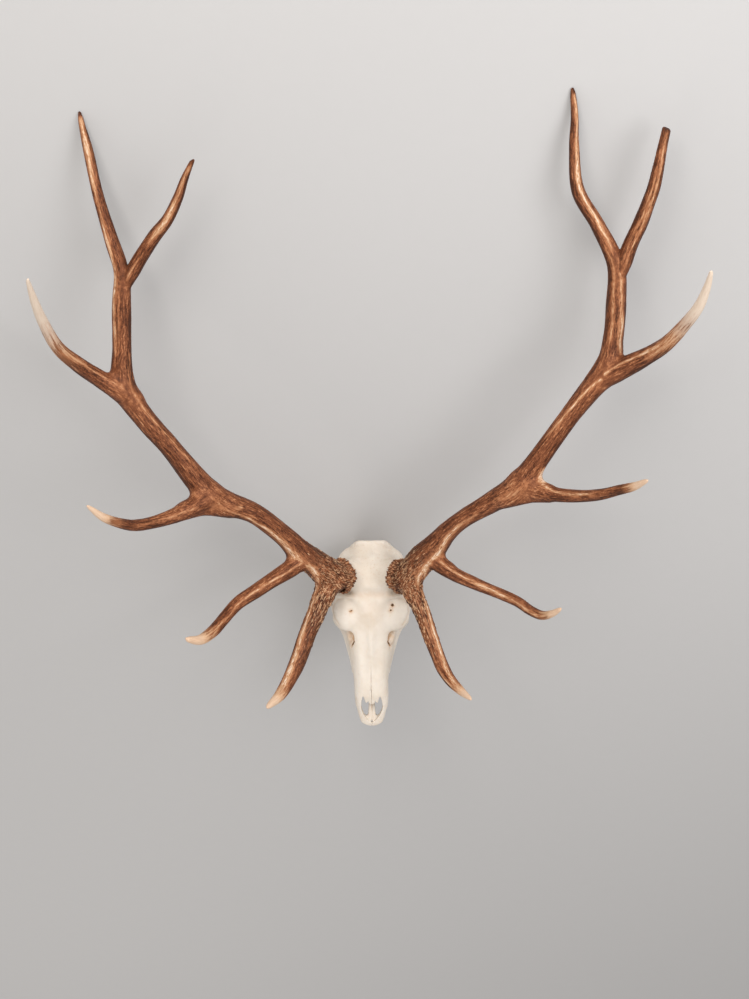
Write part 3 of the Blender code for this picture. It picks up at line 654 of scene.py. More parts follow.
def fillSkull():
    cell = skull["cell"] * 1
    low = (0, -38.6, -0.6)
    half = Block(low, (10.8, 9.8, 21.4), cell)
    half.add(loft(skull["stations"], 1.2), (0, -38.5, 0), (8.5, 9.5, 19), 0)
    burr, axis = np.array(skull["burrCentre"]), unit(skull["burrAxis"])
    root, top, radius = np.array(skull["pedicleRoot"]), burr + 2 * axis, skull["pedicleRadius"]
    addTube(half, [(*root, radius + 0.9), (*((root + burr) / 2), radius), (*top, radius)], 1.6)
    for points, soft in skullRidges.values():
        addTube(half, points, soft)
    for centre, radii, soft, *lean in skullLumps.values():
        addLump(half, centre, radii, soft, turned(*lean, "Y") if lean else None)
    rim = skull["rim"]
    turn = Vector((0, 0, 1)).rotation_difference(Vector(rim["axis"])).to_matrix()
    ring = []
    for i in range(rim["spokes"] + 1):
        angle = math.tau * i / rim["spokes"]
        spoke = turn @ Vector((math.cos(angle), math.sin(angle), 0)) * rim["radius"]
        ring.append((*(Vector(rim["centre"]) + spoke), rim["thick"]))
    addTube(half, ring, 0.7)
    half.add(loft(skull["passage"], 0.5), (0, -39, 3), (5, -11, 14), 0.35, cut=True)
    for centre, radii, soft in skullHollows.values():
        addLump(half, centre, radii, soft, cut=True)
    for points, soft in skullHoles.values():
        addTube(half, points, soft, cut=True)
    for centre, radii, degrees in skullSlits.values():
        addLump(half, centre, radii, skull["slitSoft"], turned(degrees), cut=True)
    half.add(prism(noseOpening, -1.0, 6.6), (0, -36, -0.6), (4, -28, 7.2), 0.12, cut=True)
    half.add(prism(noseFront, 4.15, 12.0), (0, -37.5, 3.8), (4, -28, 12), 0.25, cut=True)
    addTube(half, skull["noseScroll"], 0.3)
    noseWall = slab((-0.14, -28, -beyond), (0.14, beyond, 10.5))
    half.add(noseWall, (0, -28.5, 4), (1, -12, 11), 0.15)
    half.add(plane(burr, -axis, skull["gap"]), (1, -6, 14), (10.8, 7, 21.4), 0, cut=True)
    half.add(underFloor, (2, 4, -0.6), (6, 7, 3), 0, cut=True)
    overTeeth = slab((2.2, -24.2, -beyond), (beyond, -8.2, skull["ledgeHeight"]))
    half.add(overTeeth, (2.0, -24.5, -0.6), (7.5, -8, 2.2), 0, cut=True)
    whole = Block((-cell * (len(half.values) - 1), *low[1:]), (-10, -38, 0), cell)
    whole.values = np.concatenate([half.values[:0:-1], half.values])
    for points in browHoles.values():
        addTube(whole, points, 0.15, cut=True)
    centre, radii, degrees = browSlit
    addLump(whole, centre, radii, skull["slitSoft"], turned(degrees), cut=True)
    for centre, radii in browSpurs:
        addLump(whole, centre, radii, 0.18)
    addTube(whole, leftCrest, 0.8)
    return whole


def buildSkull(material):
    block = fillSkull()
    mesh = rawMesh("skullBone", *surfaceNet(block), skull["mostTriangles"])
    points, normals = readMesh(mesh)
    hollow = hollowness(block, points, 1.0, 1)
    x, y, z = points.T
    across = np.abs(x)
    fromAbove = np.stack([across, y], axis=1)
    onTop = smoothStep(0.35, 0.75, normals[:, 2])
    onSide = smoothStep(0.45, 0.8, np.abs(normals[:, 0]))
    seam = np.where(onTop > 0.3, seamDistance(fromAbove, topSeams), far)
    seam = np.where((onSide > 0.3) & (onTop <= 0.3), seamDistance(points[:, 1:], sideSeams), seam)
    onNose = (across < 0.8) & (y > -32) & (y < -14)
    seam = np.where(onNose, x, np.abs(seam) * np.sign(x))
    towardsTip = smoothStep(-21.0, -25.0, y)
    seamShows = 0.1 + 0.9 * (across < 0.35) * towardsTip
    rimGap = seamDistance(fromAbove, browRim)
    rimLine = hump(rimGap, 0.17) * smoothStep(0.05, 0.3, normals[:, 2]) * (z > 9)
    # Where the bone is stained or painted darker: tan stain in the pits before the eyes and round
    # the small holes, and painted shade in the deep places, on the brow and inside
    inPit = ((across - 5.0) / 1.1) ** 2 + ((y + 15.4) / 2.1) ** 2 + ((z - 11.2) / 2.2) ** 2
    inPit = np.exp(-inPit)
    # Tan stain in the pits before the eyes, darker where they are deep: painted shade
    stainAndShade = np.clip(inPit * (0.6 + smoothStep(0.54, 0.68, hollow)), 0, 0.66)
    stainAndShade += 0.18 * inPit * (hollow > 0.5) * smoothStep(4.7, 4.2, across)
    # Tan stain round the small holes on the brow, dark brown in them: painted shade
    for spot in (browSlit[0], *(hole[0][:3] for hole in browHoles.values())):
        gap = np.linalg.norm((points - spot)[:, :2], axis=1)
        stainAndShade = np.maximum(stainAndShade, 0.75 * hump(gap, 0.6) * (z > 12))
    # Painted shade where the forehead dips behind the brows and down its middle
    browBand = hump(y + 4.5, 0.8) * smoothStep(7.5, 6.0, across) * onTop
    browMiddle = hump(y + 9.5, 3.5) * smoothStep(4.5, 1.5, across) * onTop
    # Painted shade in the slot at the front of the nose
    slot = (across < 0.18) * smoothStep(-31.2, -31.6, y) * smoothStep(-34.2, -33.2, y) * (z < 4.4)
    stainAndShade = np.maximum.reduce([stainAndShade, 0.13 * browMiddle, 0.30 * browBand, 0.4 * slot])
    # Painted shade deep inside the skull, and along the groove of the brow's rim
    deep = smoothStep(0.68, 0.9, hollow)
    inside = (across < 4.5) & (y > -30) & (y < 7) & (deep > 0.1)
    stainAndShade = np.maximum(np.clip(stainAndShade + deep * 0.55 * inside, 0, 1), 0.35 * rimLine)
    porous = smoothStep(-6, 1, y) + smoothStep(3.5, 2.0, z) * 0.6 + smoothStep(-33, -36, y) * 0.7
    # Fine relief: waves, ragged at the back and on the brows' edges, and the seams' grooves
    rugged = smoothStep(1.0, 6.0, y)
    onBrow = smoothStep(6.8, 8.6, across) * smoothStep(9.5, 11.0, z)
    lift = 0.035 * grain(points / 1.7, 3) + 0.022 * grain(points / 0.75, 5) * (0.4 + rugged)
    lift += 0.07 * grain(points / 0.5, 8) * rugged * smoothStep(0.5, 0.35, hollow)
    lift += 0.075 * grain(points / 0.6, 15) * onBrow * smoothStep(0.52, 0.38, hollow)
    lift += 0.05 * hump(across - 0.42, 0.25) * towardsTip * onTop
    groove = hump(seam, 0.16) * 0.05 * seamShows + 0.09 * rimLine
    flat = np.abs(z - skull["ledgeHeight"]) < 0.15
    points = points + normals * ((lift - groove) * ~flat)[:, None]
    points[:, 0] += 0.2 * smoothStep(-24.5, -33.0, points[:, 1])  # the muzzle bends to the left
    marks = {"hollow": hollow, "stainAndShade": stainAndShade, "seam": seam, "seamShows": seamShows,
             "porous": np.clip(porous, 0, 1)}
    piece = finishPiece(mesh, points, material, marks)
    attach(piece, "root")
    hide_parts("skull")
    print("skull:", len(mesh.polygons), "faces")


antlerLook = {
    "dark": (0.055, 0.017, 0.007),
    "brown": (0.165, 0.053, 0.022),
    "light": (0.36, 0.14, 0.06),
    "worn": (0.62, 0.375, 0.21),
    "pale": (0.74, 0.615, 0.495),
    "ivory": (0.61, 0.515, 0.43),
    "roughness": 0.46,
}


def makeAntler():
    look = antlerLook
    material, shader, place = startMaterial("grownAntler")
    flow = place.marks("flow", output=1)[0]
    relief, crest, tip, pearly, hollow = place.marks("relief", "crest", "tip", "pearly", "hollow")
    flankShade, web, fork, bead, bare = place.marks("flankShade", "web", "fork", "bead", "bare")
    fork = fork * 0.75
    broad = flow.streaks(0.30, 0.085, 2.0, 0.5)
    groove = flow.streaks(2.1, 0.12, 2.0, 0.5)
    groove = groove + (0.5 - groove) * fork
    streak = flow.streaks(3.7, 0.42, 3.0, 0.65, 0.2)
    streak = streak + (place.noise(80.0, 3.0, 0.6) - streak) * fork
    speck = flow.streaks(5.0, 1.6, 2.0, 0.65)
    fine = flow.streaks(4.8, 0.6, 2.0, 0.6)
    pebble = flow.streaks(3.6, 0.75, 2.0, 0.65)
    flecks = flow.streaks(5.2, 0.85, 2.0, 0.6).between(0.54, 0.64) * pearly
    grit = place.noise(360.0, 2.0, 0.6)
    # Painted shade: darker towards the upper branches, which the lamps light more strongly
    high = place.node("ShaderNodeSeparateXYZ", None, {"Vector": place}, 1).between(0.2, 0.6)
    shade = (streak - 0.5) * 1.5 + (groove - 0.5) * 0.8 + (speck - 0.5) * 1.1 * (1 - fork)
    shade = shade + (broad - 0.5) * 0.7 + (grit - 0.5) * 0.4
    shade = shade + fine.between(0.50, 0.70) * 0.26 * (1 - fork) - 0.13
    # The flanks' value is painted shade on the sides that turn away from the front
    shade = shade + (pebble - 0.5) * pearly * 1.4 + relief * 0.16 - flankShade * 0.24
    shade = shade + web * 0.12 - pearly * 0.17 + fork * 0.10 - high * 0.11
    rubbed = (streak - 0.5) * 3.4 + (fine - 0.5) * 1.6 + (speck - 0.5) * 1.6 + (broad - 0.5)
    rubbed = crest * (1.1 + rubbed)
    colour = shade.between(-0.46, 0.00).mix(look["dark"], look["brown"])
    colour = layered(colour, look, (
        (shade.between(-0.06, 0.36), "light"),
        (shade.between(0.24, 0.62) * 0.6, "worn"),
        (flecks * 0.8, "worn"),
        # Painted shade: darker in crevices, by how enclosed each point is
        (hollow.between(0.58, 0.76) * 0.75 * (1 - fork), "dark"),
        (bead.between(0.50, 0.90) * (0.35 + speck * 0.8), "worn"),
        (rubbed.between(0.05, 0.50) * 0.8, "light"),
        (rubbed.between(0.35, 1.10) * 0.8, "worn"),
        (rubbed.between(0.90, 1.50) * 0.8, "pale"),
        (tip.between(0.0, 0.35) * 0.55, "light"),
    ))
    polished = tip + ((streak - 0.5) * 3.0 + (groove - 0.5) * 2.2 + crest * 0.25) * (1 - tip)
    polished = polished.between(0.28, 0.75) * tip.between(0.0, 0.12)
    ivory = tip.between(0.2, 0.7).mix(look["worn"], bare.mix(look["worn"], look["ivory"]))
    ivory = layered(ivory, look, (
        (streak.between(0.44, 0.62) * (0.5 - tip * 0.2), "light"),
        (tip.between(0.65, 1.0) * (0.2 + bare * 0.5), "pale"),
    ))
    gloss = look["roughness"] + (speck - 0.5) * 0.3 + (1 - streak) * 0.10 - polished * 0.08
    height = (streak * 0.55 + speck * 0.55 + grit * 0.15) * (1 - polished * 0.85)
    plug(shader, Base_Color=polished.mix(colour, ivory), Roughness=gloss,
         Normal=height.bump(0.75, 0.0016), Specular_IOR_Level=0.14)
    return material


# Each branch runs from root to tip as x, y, z and radius
branches = {
    "right": {
        "beam": [
            (-7.4, 0, 19.9, 3.3), (-8.5, 0, 21.3, 3.45), (-9.75, 1.25, 23, 3.1),
            (-12.3, 3.15, 26, 3), (-15.8, 5.9, 29.5, 2.8), (-19.6, 10, 33.5, 2.3),
            (-25.5, 14.8, 39, 2.25), (-31.9, 17.5, 43, 2.6), (-36.4, 21.2, 46.2, 2.6),
            (-41.8, 28.5, 51, 2.15), (-46.9, 34.8, 55, 2.25), (-50.6, 41.2, 58, 2.4),
            (-50.5, 49.6, 61, 1.9), (-50.1, 56.9, 63.5, 1.9), (-49.7, 63.4, 65.9, 1.52),
            (-51.3, 69.4, 68, 1.36), (-53.3, 77.4, 71, 1.05), (-54.6, 85, 73.5, 0.95),
            (-55.6, 90.1, 75.2, 0.6), (-55.9, 92.3, 75.9, 0.35),
        ],
        "brow": [
            (-8.3, 0.2, 20.9, 2.5), (-10.75, -3.6, 23.6, 2.25), (-12.4, -7.9, 25, 2.1),
            (-14.6, -13.2, 26, 1.95), (-16.4, -18.4, 27.5, 1.85), (-18, -22, 29.5, 1.65),
            (-20.1, -25.6, 33, 1.3), (-22.2, -27.4, 36.8, 0.75), (-22.7, -27.8, 37.9, 0.33),
        ],
        "bez": [
            (-14.8, 4.6, 28.6, 2.2), (-18.3, 2.2, 31.3, 2), (-22, -0.1, 33.5, 1.7),
            (-25.3, -2.3, 35.5, 1.6), (-29.3, -5, 38, 1.45), (-32.3, -8.5, 41.5, 1.32),
            (-34.1, -10.6, 44.5, 1.3), (-36.1, -11.9, 48, 1.1), (-38, -11.6, 51, 0.7),
            (-38.6, -11.3, 51.9, 0.32),
        ],
        "trez": [
            (-34.4, 18.8, 44.8, 2.2), (-37.6, 16.5, 47.6, 2), (-41.1, 14.6, 50.5, 1.6),
            (-45, 13.2, 54, 1.3), (-48.2, 12.6, 58, 1.2), (-50.7, 13.1, 62, 1),
            (-53.2, 14.3, 66, 0.85), (-55, 16, 69.1, 0.5), (-55.6, 16.6, 70, 0.28),
        ],
        "royal": [
            (-48.9, 38.6, 56.9, 2.4), (-51.9, 40.5, 59, 2.1), (-55.1, 42.5, 61, 1.75),
            (-58.6, 45, 65, 1.55), (-61.4, 47.8, 70.5, 1.3), (-62.6, 51.9, 77.5, 1.05),
            (-62.6, 54.8, 84, 0.8), (-62.3, 57.4, 89.8, 0.42), (-62.1, 57.9, 91, 0.22),
        ],
        "surroyal": [
            (-49.1, 60.8, 65, 1.7), (-46.4, 64.7, 67.3, 1.42), (-42.6, 69.3, 70.5, 1.32),
            (-39.4, 72.2, 73.5, 1.15), (-37, 75.6, 76.5, 0.98), (-35.3, 78.6, 79.5, 0.74),
            (-33.6, 81, 82.4, 0.45), (-33.1, 81.5, 83, 0.28),
        ],
    },
    "left": {
        "beam": [
            (7.4, 0, 19.9, 3.3), (8.5, 0, 21.3, 3.45), (9.5, 1.6, 23, 3.05),
            (11.85, 4.75, 26.5, 3), (14.7, 7.6, 30, 2.75), (17.3, 10.9, 33.5, 2.2),
            (21.1, 14.1, 37.5, 2), (27.1, 17.8, 42, 2.35), (31.8, 21, 45.5, 2.7),
            (35.6, 26.5, 49, 2.2), (41.7, 35.6, 54, 2.05), (48.4, 45, 58.5, 2.5),
            (49.4, 50.5, 60.5, 2.05), (49.6, 57.5, 63, 2), (49, 64.9, 65.9, 1.75),
            (45.1, 72, 68.5, 1.42), (40.7, 78.3, 71.5, 1.27), (39.4, 85.8, 75, 0.97),
            (39.2, 91, 77.1, 0.75), (38.7, 94.8, 78.6, 0.52), (38.5, 95.9, 79.15, 0.35),
        ],
        "brow": [
            (8.1, 0.2, 20.9, 2.5), (10.3, -4.6, 23.8, 1.95), (12.1, -8.8, 25, 1.8),
            (13.7, -13.5, 26, 1.7), (15, -17, 27.5, 1.55), (16.3, -20.2, 29, 1.5),
            (18, -22.8, 31.5, 1.25), (20.1, -24.7, 34.5, 0.95), (21.6, -25.7, 37.2, 0.55),
            (22, -26, 38, 0.3),
        ],
        "bez": [
            (13.6, 5, 28.2, 2.1), (18.2, 1.5, 31.5, 1.6), (22.5, -0.5, 34, 1.4),
            (27.4, -2.4, 37, 1.22), (31.9, -4.3, 40.5, 1.14), (34.4, -6, 43.5, 1.05),
            (36.7, -6.9, 46, 0.95), (38.4, -6.3, 49, 0.77), (39.6, -5.3, 51.4, 0.48),
            (39.9, -5, 52, 0.28),
        ],
        "trez": [
            (32.2, 21.8, 45.2, 2.3), (35.8, 19.9, 47.7, 1.9), (39.3, 18.9, 51, 1.5),
            (43.3, 18.6, 55, 1.3), (46.9, 18.9, 59.5, 1.15), (50, 19.8, 64, 1),
            (52.3, 20.5, 68, 0.85), (53.8, 21.4, 71.2, 0.5), (54.1, 21.6, 72, 0.28),
        ],
        "royal": [
            (47, 42.2, 57.2, 2.4), (50.9, 44.4, 60.6, 2.2), (55, 46.4, 65, 1.8),
            (58.1, 48.4, 70, 1.5), (60.3, 51.2, 75.5, 1.25), (61.8, 54, 81.5, 1.05),
            (62.2, 56.8, 86.5, 0.76), (62.1, 58.9, 90.2, 0.45), (62, 59.3, 91, 0.28),
        ],
        "surroyal": [
            (49.6, 61.9, 65, 1.8), (51.4, 68, 68, 1.5), (53, 72, 70.5, 1.45), (53.9, 75, 73, 1.32),
            (54.7, 78.1, 75.5, 1.25), (55.2, 81.5, 77.5, 1.08), (55.6, 84.8, 79, 0.9),
            (56.1, 88, 80.5, 0.85),
        ],
    },
}
antler = {
    "cell": 0.22,  # cm
    "quickCell": 1.6,
    "step": 0.6,  # cm between the points along a branch
    "mostTriangles": 190000,
    # How far a fork's corner fills, in cm
    "web": {"brow": 1.6, "bez": 1.9, "trez": 2.4, "royal": 1.5, "surroyal": 0.15},
    "rootShare": 0.72,  # a tine's radius where it starts inside the beam
    "rootLength": 4.5,
    "filletSoft": 1.2,
    "burrSoft": 1.0,
    "pearlsReach": (17, 5),  # where the pearls end and where they are full, cm from the burr
    "browPearls": 0.42,
    "ridgeSize": (0.62, 0.62, 6.0),  # cm across, over and along
    "burrRadius": 3.68,
    "burrThick": 0.57,
    "burrKnobs": 17,
    "nick": (-6.9, -3.0, 20.55),  # a dark hole low in the right burr
    "nickSize": (1.05, 0.8, 1.5),
    # How far the painted shadow in the nick spreads, in cm
    "nickShade": (1.05, 0.85, 2.0),
    "ivory": {  # how much of each branch's end is bare and polished, cm
        "right": {"beam": 0.01, "brow": 8, "bez": 10, "trez": 11, "royal": 31, "surroyal": 0.01},
        "left": {"beam": 0.01, "brow": 7, "bez": 8, "trez": 8, "royal": 27, "surroyal": 0.01},
    },
    # Which ends are stained, and how much
    "darkEnds": {"right": {"beam": 1.0}, "left": {"beam": 0.9, "surroyal": 2.6}},
    # Extra bone under a fork, as seen in the photo
    "fillets": {
        "right": [
            [(-10.2, -4.4, 23.9, 1.7), (-10.4, -1.4, 24.7, 1.8), (-11.7, 1.8, 26.3, 1.9)],
            [(-39.6, 15.6, 49, 1.45), (-36, 15.9, 45.8, 1.5), (-31.4, 16.3, 42.8, 1.7)],
            [(-33.6, 18.4, 46.2, 1.1), (-35.9, 17.4, 47.5, 1.3), (-38.6, 16, 49, 1.3)],
        ],
        "left": [
            [(29.6, 18.4, 44, 1.6), (33.7, 18.6, 46.2, 1.5), (37.6, 18.9, 49.2, 1.4)],
            [(31.8, 21.2, 46, 1.7), (34.6, 20.4, 47.4, 1.6), (37.4, 19.5, 49.3, 1.5)],
            [(9.6, -4.2, 23.9, 1.6), (9.7, -1.4, 24.7, 1.7), (11.2, 2.2, 26.6, 1.8)],
            [(12.4, 2.9, 26.8, 1.2), (14.2, 3.3, 28.4, 1.2), (17.4, 2.3, 31, 1.2)],
        ],
    },
    # Rubbed patches in the forks' corners: from where to where, how wide, how plain
    "patches": {
        "right": [
            ((-14.7, 4, 31), (-12.2, 0.6, 28), 0.7, 1),
            ((-12.2, 0.6, 28), (-11.9, -2, 26.5), 0.5, 0.9),
            ((-35.7, 16.5, 47), (-28, 16.2, 43.5), 0.6, 0.7),
        ],
        "left": [
            ((10.7, 0.2, 27.5), (13.2, 3.8, 30.5), 0.65, 1),
            ((10.7, 0.2, 27.5), (11, -2.6, 26), 0.5, 0.9),
            ((36.2, 24.2, 49), (36.7, 20.6, 49), 0.9, 1.5),
        ],
    },
    "paleness": {"beam": 0.05, "brow": 0.2, "bez": 0.15, "trez": 0.2, "royal": 0.8,
                 "surroyal": 0.05},
}
# Lines where the surface is rubbed down to pale, as seen from the front: how far along the branch,
# how far across it from -1 to 1, how wide, and how plain
wornLines = {
    "right": {
        "beam": [
            [(7.5, -0.8, 0.6, 0.7), (9, -0.55, 0.8, 1), (11, -0.38, 0.7, 1), (13, -0.4, 0.5, 0.8)],
            [(13.5, -0.55, 0.8, 0.9), (16, -0.5, 0.9, 1), (21, -0.45, 0.7, 1),
             (26, -0.42, 0.45, 0.9), (30, -0.62, 0.35, 0.7), (34, -0.6, 0.3, 0.6),
             (39, -0.3, 0.3, 0.4)],
            [(50, 0.75, 0.3, 0.4), (56, 0.6, 0.3, 0.5), (65, 0.58, 0.3, 0.6), (72, 0.6, 0.35, 0.4),
             (79, 0.85, 0.35, 0.3)],
            [(80, -0.5, 0.4, 0.5), (86, -0.65, 0.45, 0.9), (92, -0.7, 0.45, 0.9),
             (99, -0.7, 0.4, 0.8), (105, -0.5, 0.4, 0.8), (110, -0.3, 0.35, 0.6),
             (116, -0.25, 0.5, 0.8), (122, -0.1, 0.7, 0.85), (127, 0, 0.7, 0.7)],
            [(78, -0.1, 0.25, 0.3), (86, -0.15, 0.3, 0.4), (95, -0.1, 0.25, 0.3)],
        ],
        "brow": [
            [(1, 0.95, 0.7, 1), (5, 0.8, 0.6, 1), (10, 0.7, 0.5, 0.85), (15, 0.6, 0.5, 0.85),
             (21, 0.55, 0.7, 0.95), (26, 0.55, 0.8, 1), (32, 0.4, 0.9, 1)],
        ],
        "bez": [
            [(3, -0.15, 0.25, 0.7), (8, -0.1, 0.3, 0.9), (14, 0, 0.25, 0.8), (19, -0.05, 0.25, 0.7),
             (24, -0.35, 0.3, 0.5), (29, 0, 0.5, 0.8)],
        ],
        "trez": [
            [(6, -0.25, 0.35, 0.5), (10, -0.1, 0.4, 0.6), (16, 0, 0.35, 0.4), (22, 0.1, 0.3, 0.2)],
        ],
        "royal": [
            [(3, 0.4, 0.4, 0.4), (8, 0.45, 0.4, 0.5), (14, 0.45, 0.4, 0.6), (20, 0.3, 0.5, 0.8)],
        ],
        "surroyal": [
            [(2.5, 0.1, 0.25, 0.7), (7, 0.1, 0.25, 0.5)],
            [(11, 0.1, 0.35, 0.4), (15, 0.12, 0.5, 0.9), (20, 0.05, 0.5, 1), (24, 0, 0.35, 0.7),
             (30, 0.1, 0.4, 0.6)],
        ],
    },
    "left": {
        "beam": [
            [(7, 0.85, 0.5, 0.7), (8.5, 0.65, 0.7, 1), (10, 0.6, 0.7, 1), (11.5, 0.62, 0.5, 0.8)],
            [(12, 0.45, 0.5, 0.7), (15, 0.5, 0.7, 1), (20, 0.42, 0.6, 1), (24, 0.33, 0.45, 0.9),
             (30, 0.33, 0.3, 0.6)],
            [(36, 0, 0.6, 0.3), (41, 0.2, 0.7, 0.5), (45, 0.3, 0.5, 0.3)],
            [(55, -0.75, 0.25, 0.5), (60, -0.5, 0.25, 0.8), (66, -0.35, 0.25, 0.9),
             (70, -0.1, 0.25, 0.8), (73, 0.25, 0.25, 0.8)],
            [(78, 0.6, 0.5, 0.9), (81, 0.55, 0.6, 1), (85, 0.45, 0.5, 0.9), (90, 0.3, 0.45, 0.7),
             (96, 0.2, 0.4, 0.5)],
            [(80, -0.4, 0.4, 0.5), (88, -0.45, 0.4, 0.6), (94, -0.5, 0.35, 0.5),
             (99, -0.6, 0.35, 0.5)],
            [(99, -0.1, 0.4, 0.6), (104, 0, 0.45, 0.9), (109, 0.1, 0.5, 1), (114, 0.2, 0.5, 1),
             (119, 0.35, 0.4, 1), (124, 0.5, 0.35, 0.8), (130.5, 0.3, 0.4, 0.7)],
        ],
        "brow": [
            [(1, -0.95, 0.7, 1), (4, -0.92, 0.6, 1), (8, -0.85, 0.5, 1), (12, -0.7, 0.45, 1),
             (16, -0.6, 0.45, 1), (19, -0.6, 0.5, 1), (23, -0.45, 0.5, 0.9), (27, -0.4, 0.5, 0.9),
             (32, -0.2, 0.6, 1)],
            [(6, 0, 0.2, 0.5), (10, 0.05, 0.2, 0.6), (15, 0, 0.2, 0.5)],
            [(24, 0.7, 0.3, 0.6), (28, 0.65, 0.35, 0.8), (33, 0.3, 0.4, 0.8)],
        ],
        "bez": [
            [(4, -0.2, 0.4, 0.7), (9, -0.25, 0.4, 0.8), (14, -0.1, 0.4, 0.7), (18, 0, 0.5, 0.8),
             (22, 0.2, 0.4, 0.8), (26, 0.35, 0.4, 0.8), (31, 0.2, 0.5, 0.8)],
        ],
        "trez": [
            [(1.5, -0.95, 1.1, 1), (4, -0.9, 1, 1), (6.5, -0.6, 0.5, 0.9), (10, -0.4, 0.35, 0.8),
             (15, -0.3, 0.35, 0.8), (20, -0.3, 0.3, 0.6)],
        ],
        "royal": [
            [(2, -0.2, 0.25, 0.7), (8, -0.45, 0.3, 0.9), (12, -0.5, 0.3, 0.9), (17, -0.5, 0.4, 0.9),
             (22, -0.4, 0.6, 0.9)],
            [(12, 0.2, 0.3, 0.3), (17, 0.1, 0.5, 0.7), (21, 0.1, 0.7, 0.9)],
        ],
        "surroyal": [
            [(2, 0.2, 0.3, 0.4), (8, 0.3, 0.35, 0.6), (14, 0.25, 0.35, 0.6), (20, 0.3, 0.35, 0.6),
             (27, 0.2, 0.35, 0.6), (30, 0.1, 0.35, 0.5)],
            [(4, -0.3, 0.3, 0.4), (12, -0.3, 0.3, 0.5), (22, -0.25, 0.3, 0.5)],
        ],
    },
}


def acrossAxes(points):  # two axes across the curve at each point, carried along without twist
    ahead = np.gradient(points[:, :3], axis=0)
    ahead /= np.linalg.norm(ahead, axis=1)[:, None]
    side = np.array((0.0, -1.0, 0.0))
    one = []
    for way in ahead:
        side = unit(side - way * (side @ way))
        one.append(side)
    return ahead, np.array(one), np.cross(ahead, one)


def burrFrame(sign):
    centre = np.array(skull["burrCentre"]) * (sign, 1, 1)
    axis = unit(np.array(skull["burrAxis"]) * (sign, 1, 1))
    side = unit(np.cross(axis, (0, 1, 0)))
    return centre, axis, side, np.cross(axis, side)


def burrShape(sign):  # the ragged ring at the antler's root
    centre, *axes = burrFrame(sign)
    knobs, ring, thick = antler["burrKnobs"], antler["burrRadius"], antler["burrThick"]

    def shape(x, y, z):
        x, y, z = x - centre[0], y - centre[1], z - centre[2]
        rise, u, v = (x * way[0] + y * way[1] + z * way[2] for way in axes)
        angle, reach = np.arctan2(v, u), np.sqrt(u * u + v * v)
        ragged = 0.13 * np.sin(knobs * angle + 2.2 * np.sin(3 * angle) + 1.5 * rise)
        ragged += 0.14 * np.sin(5 * angle - 2 * rise + sign)
        ragged += 0.13 * np.sin(37 * angle + 2.6 * np.sin(5 * angle) + 2 * rise)
        outer = np.sqrt((reach - ring + 0.25 * rise) ** 2 + (rise - 0.75) ** 2) - thick - ragged
        return np.maximum(outer, 0.02 - rise)

    return shape


def fillAntler(side, sign, walks):
    spots = np.vstack([points for points, _ in walks.values()])[:, :3]
    low, high = spots.min(0) - 4.6, spots.max(0) + 4.6
    cell = antler["cell"] * 1
    beam, tines = Block(low, high, cell), Block(low, high, cell)
    for name, (points, _) in walks.items():
        target = beam if name == "beam" else tines
        for start, end in zip(points, points[1:]):
            reach = max(start[3], end[3]) + 2.2
            box = np.array([start[:3], end[:3]])
            target.add(roundCone(start, end), box.min(0) - reach, box.max(0) + reach, 0)
    for points in antler["fillets"][side]:
        addTube(tines, points, antler["filletSoft"])
    plain = beam.values.copy()
    for name, soft in antler["web"].items():
        root = walks[name][0][0, :3]
        where, _ = beam.part(root - 10, root + 10)
        beam.values[where] = softMin(plain[where], tines.values[where], soft)
    beam.values = np.minimum(beam.values, tines.values)
    centre, axis, _, _ = burrFrame(sign)
    beam.add(burrShape(sign), centre - 5.6, centre + 5.6, antler["burrSoft"])
    beam.add(plane(centre, axis), centre - 6.5, centre + 6.5, 0, cut=True)
    tip = walks["beam"][0][-1, :3]
    beam.add(underFloor, tip - 4, tip + 4, 0, cut=True)
    if side == "right":
        addLump(beam, antler["nick"], antler["nickSize"], 0.1, cut=True)
    else:  # this tine's end is broken off blunt
        end, before = walks["surroyal"][0][-1, :3], walks["surroyal"][0][-4, :3]
        way = unit(unit(end - before) + (0.25, 0, 0.2))
        beam.add(plane(end, -way, -0.1), end - 2, end + 2, 0.15, cut=True)
    return beam


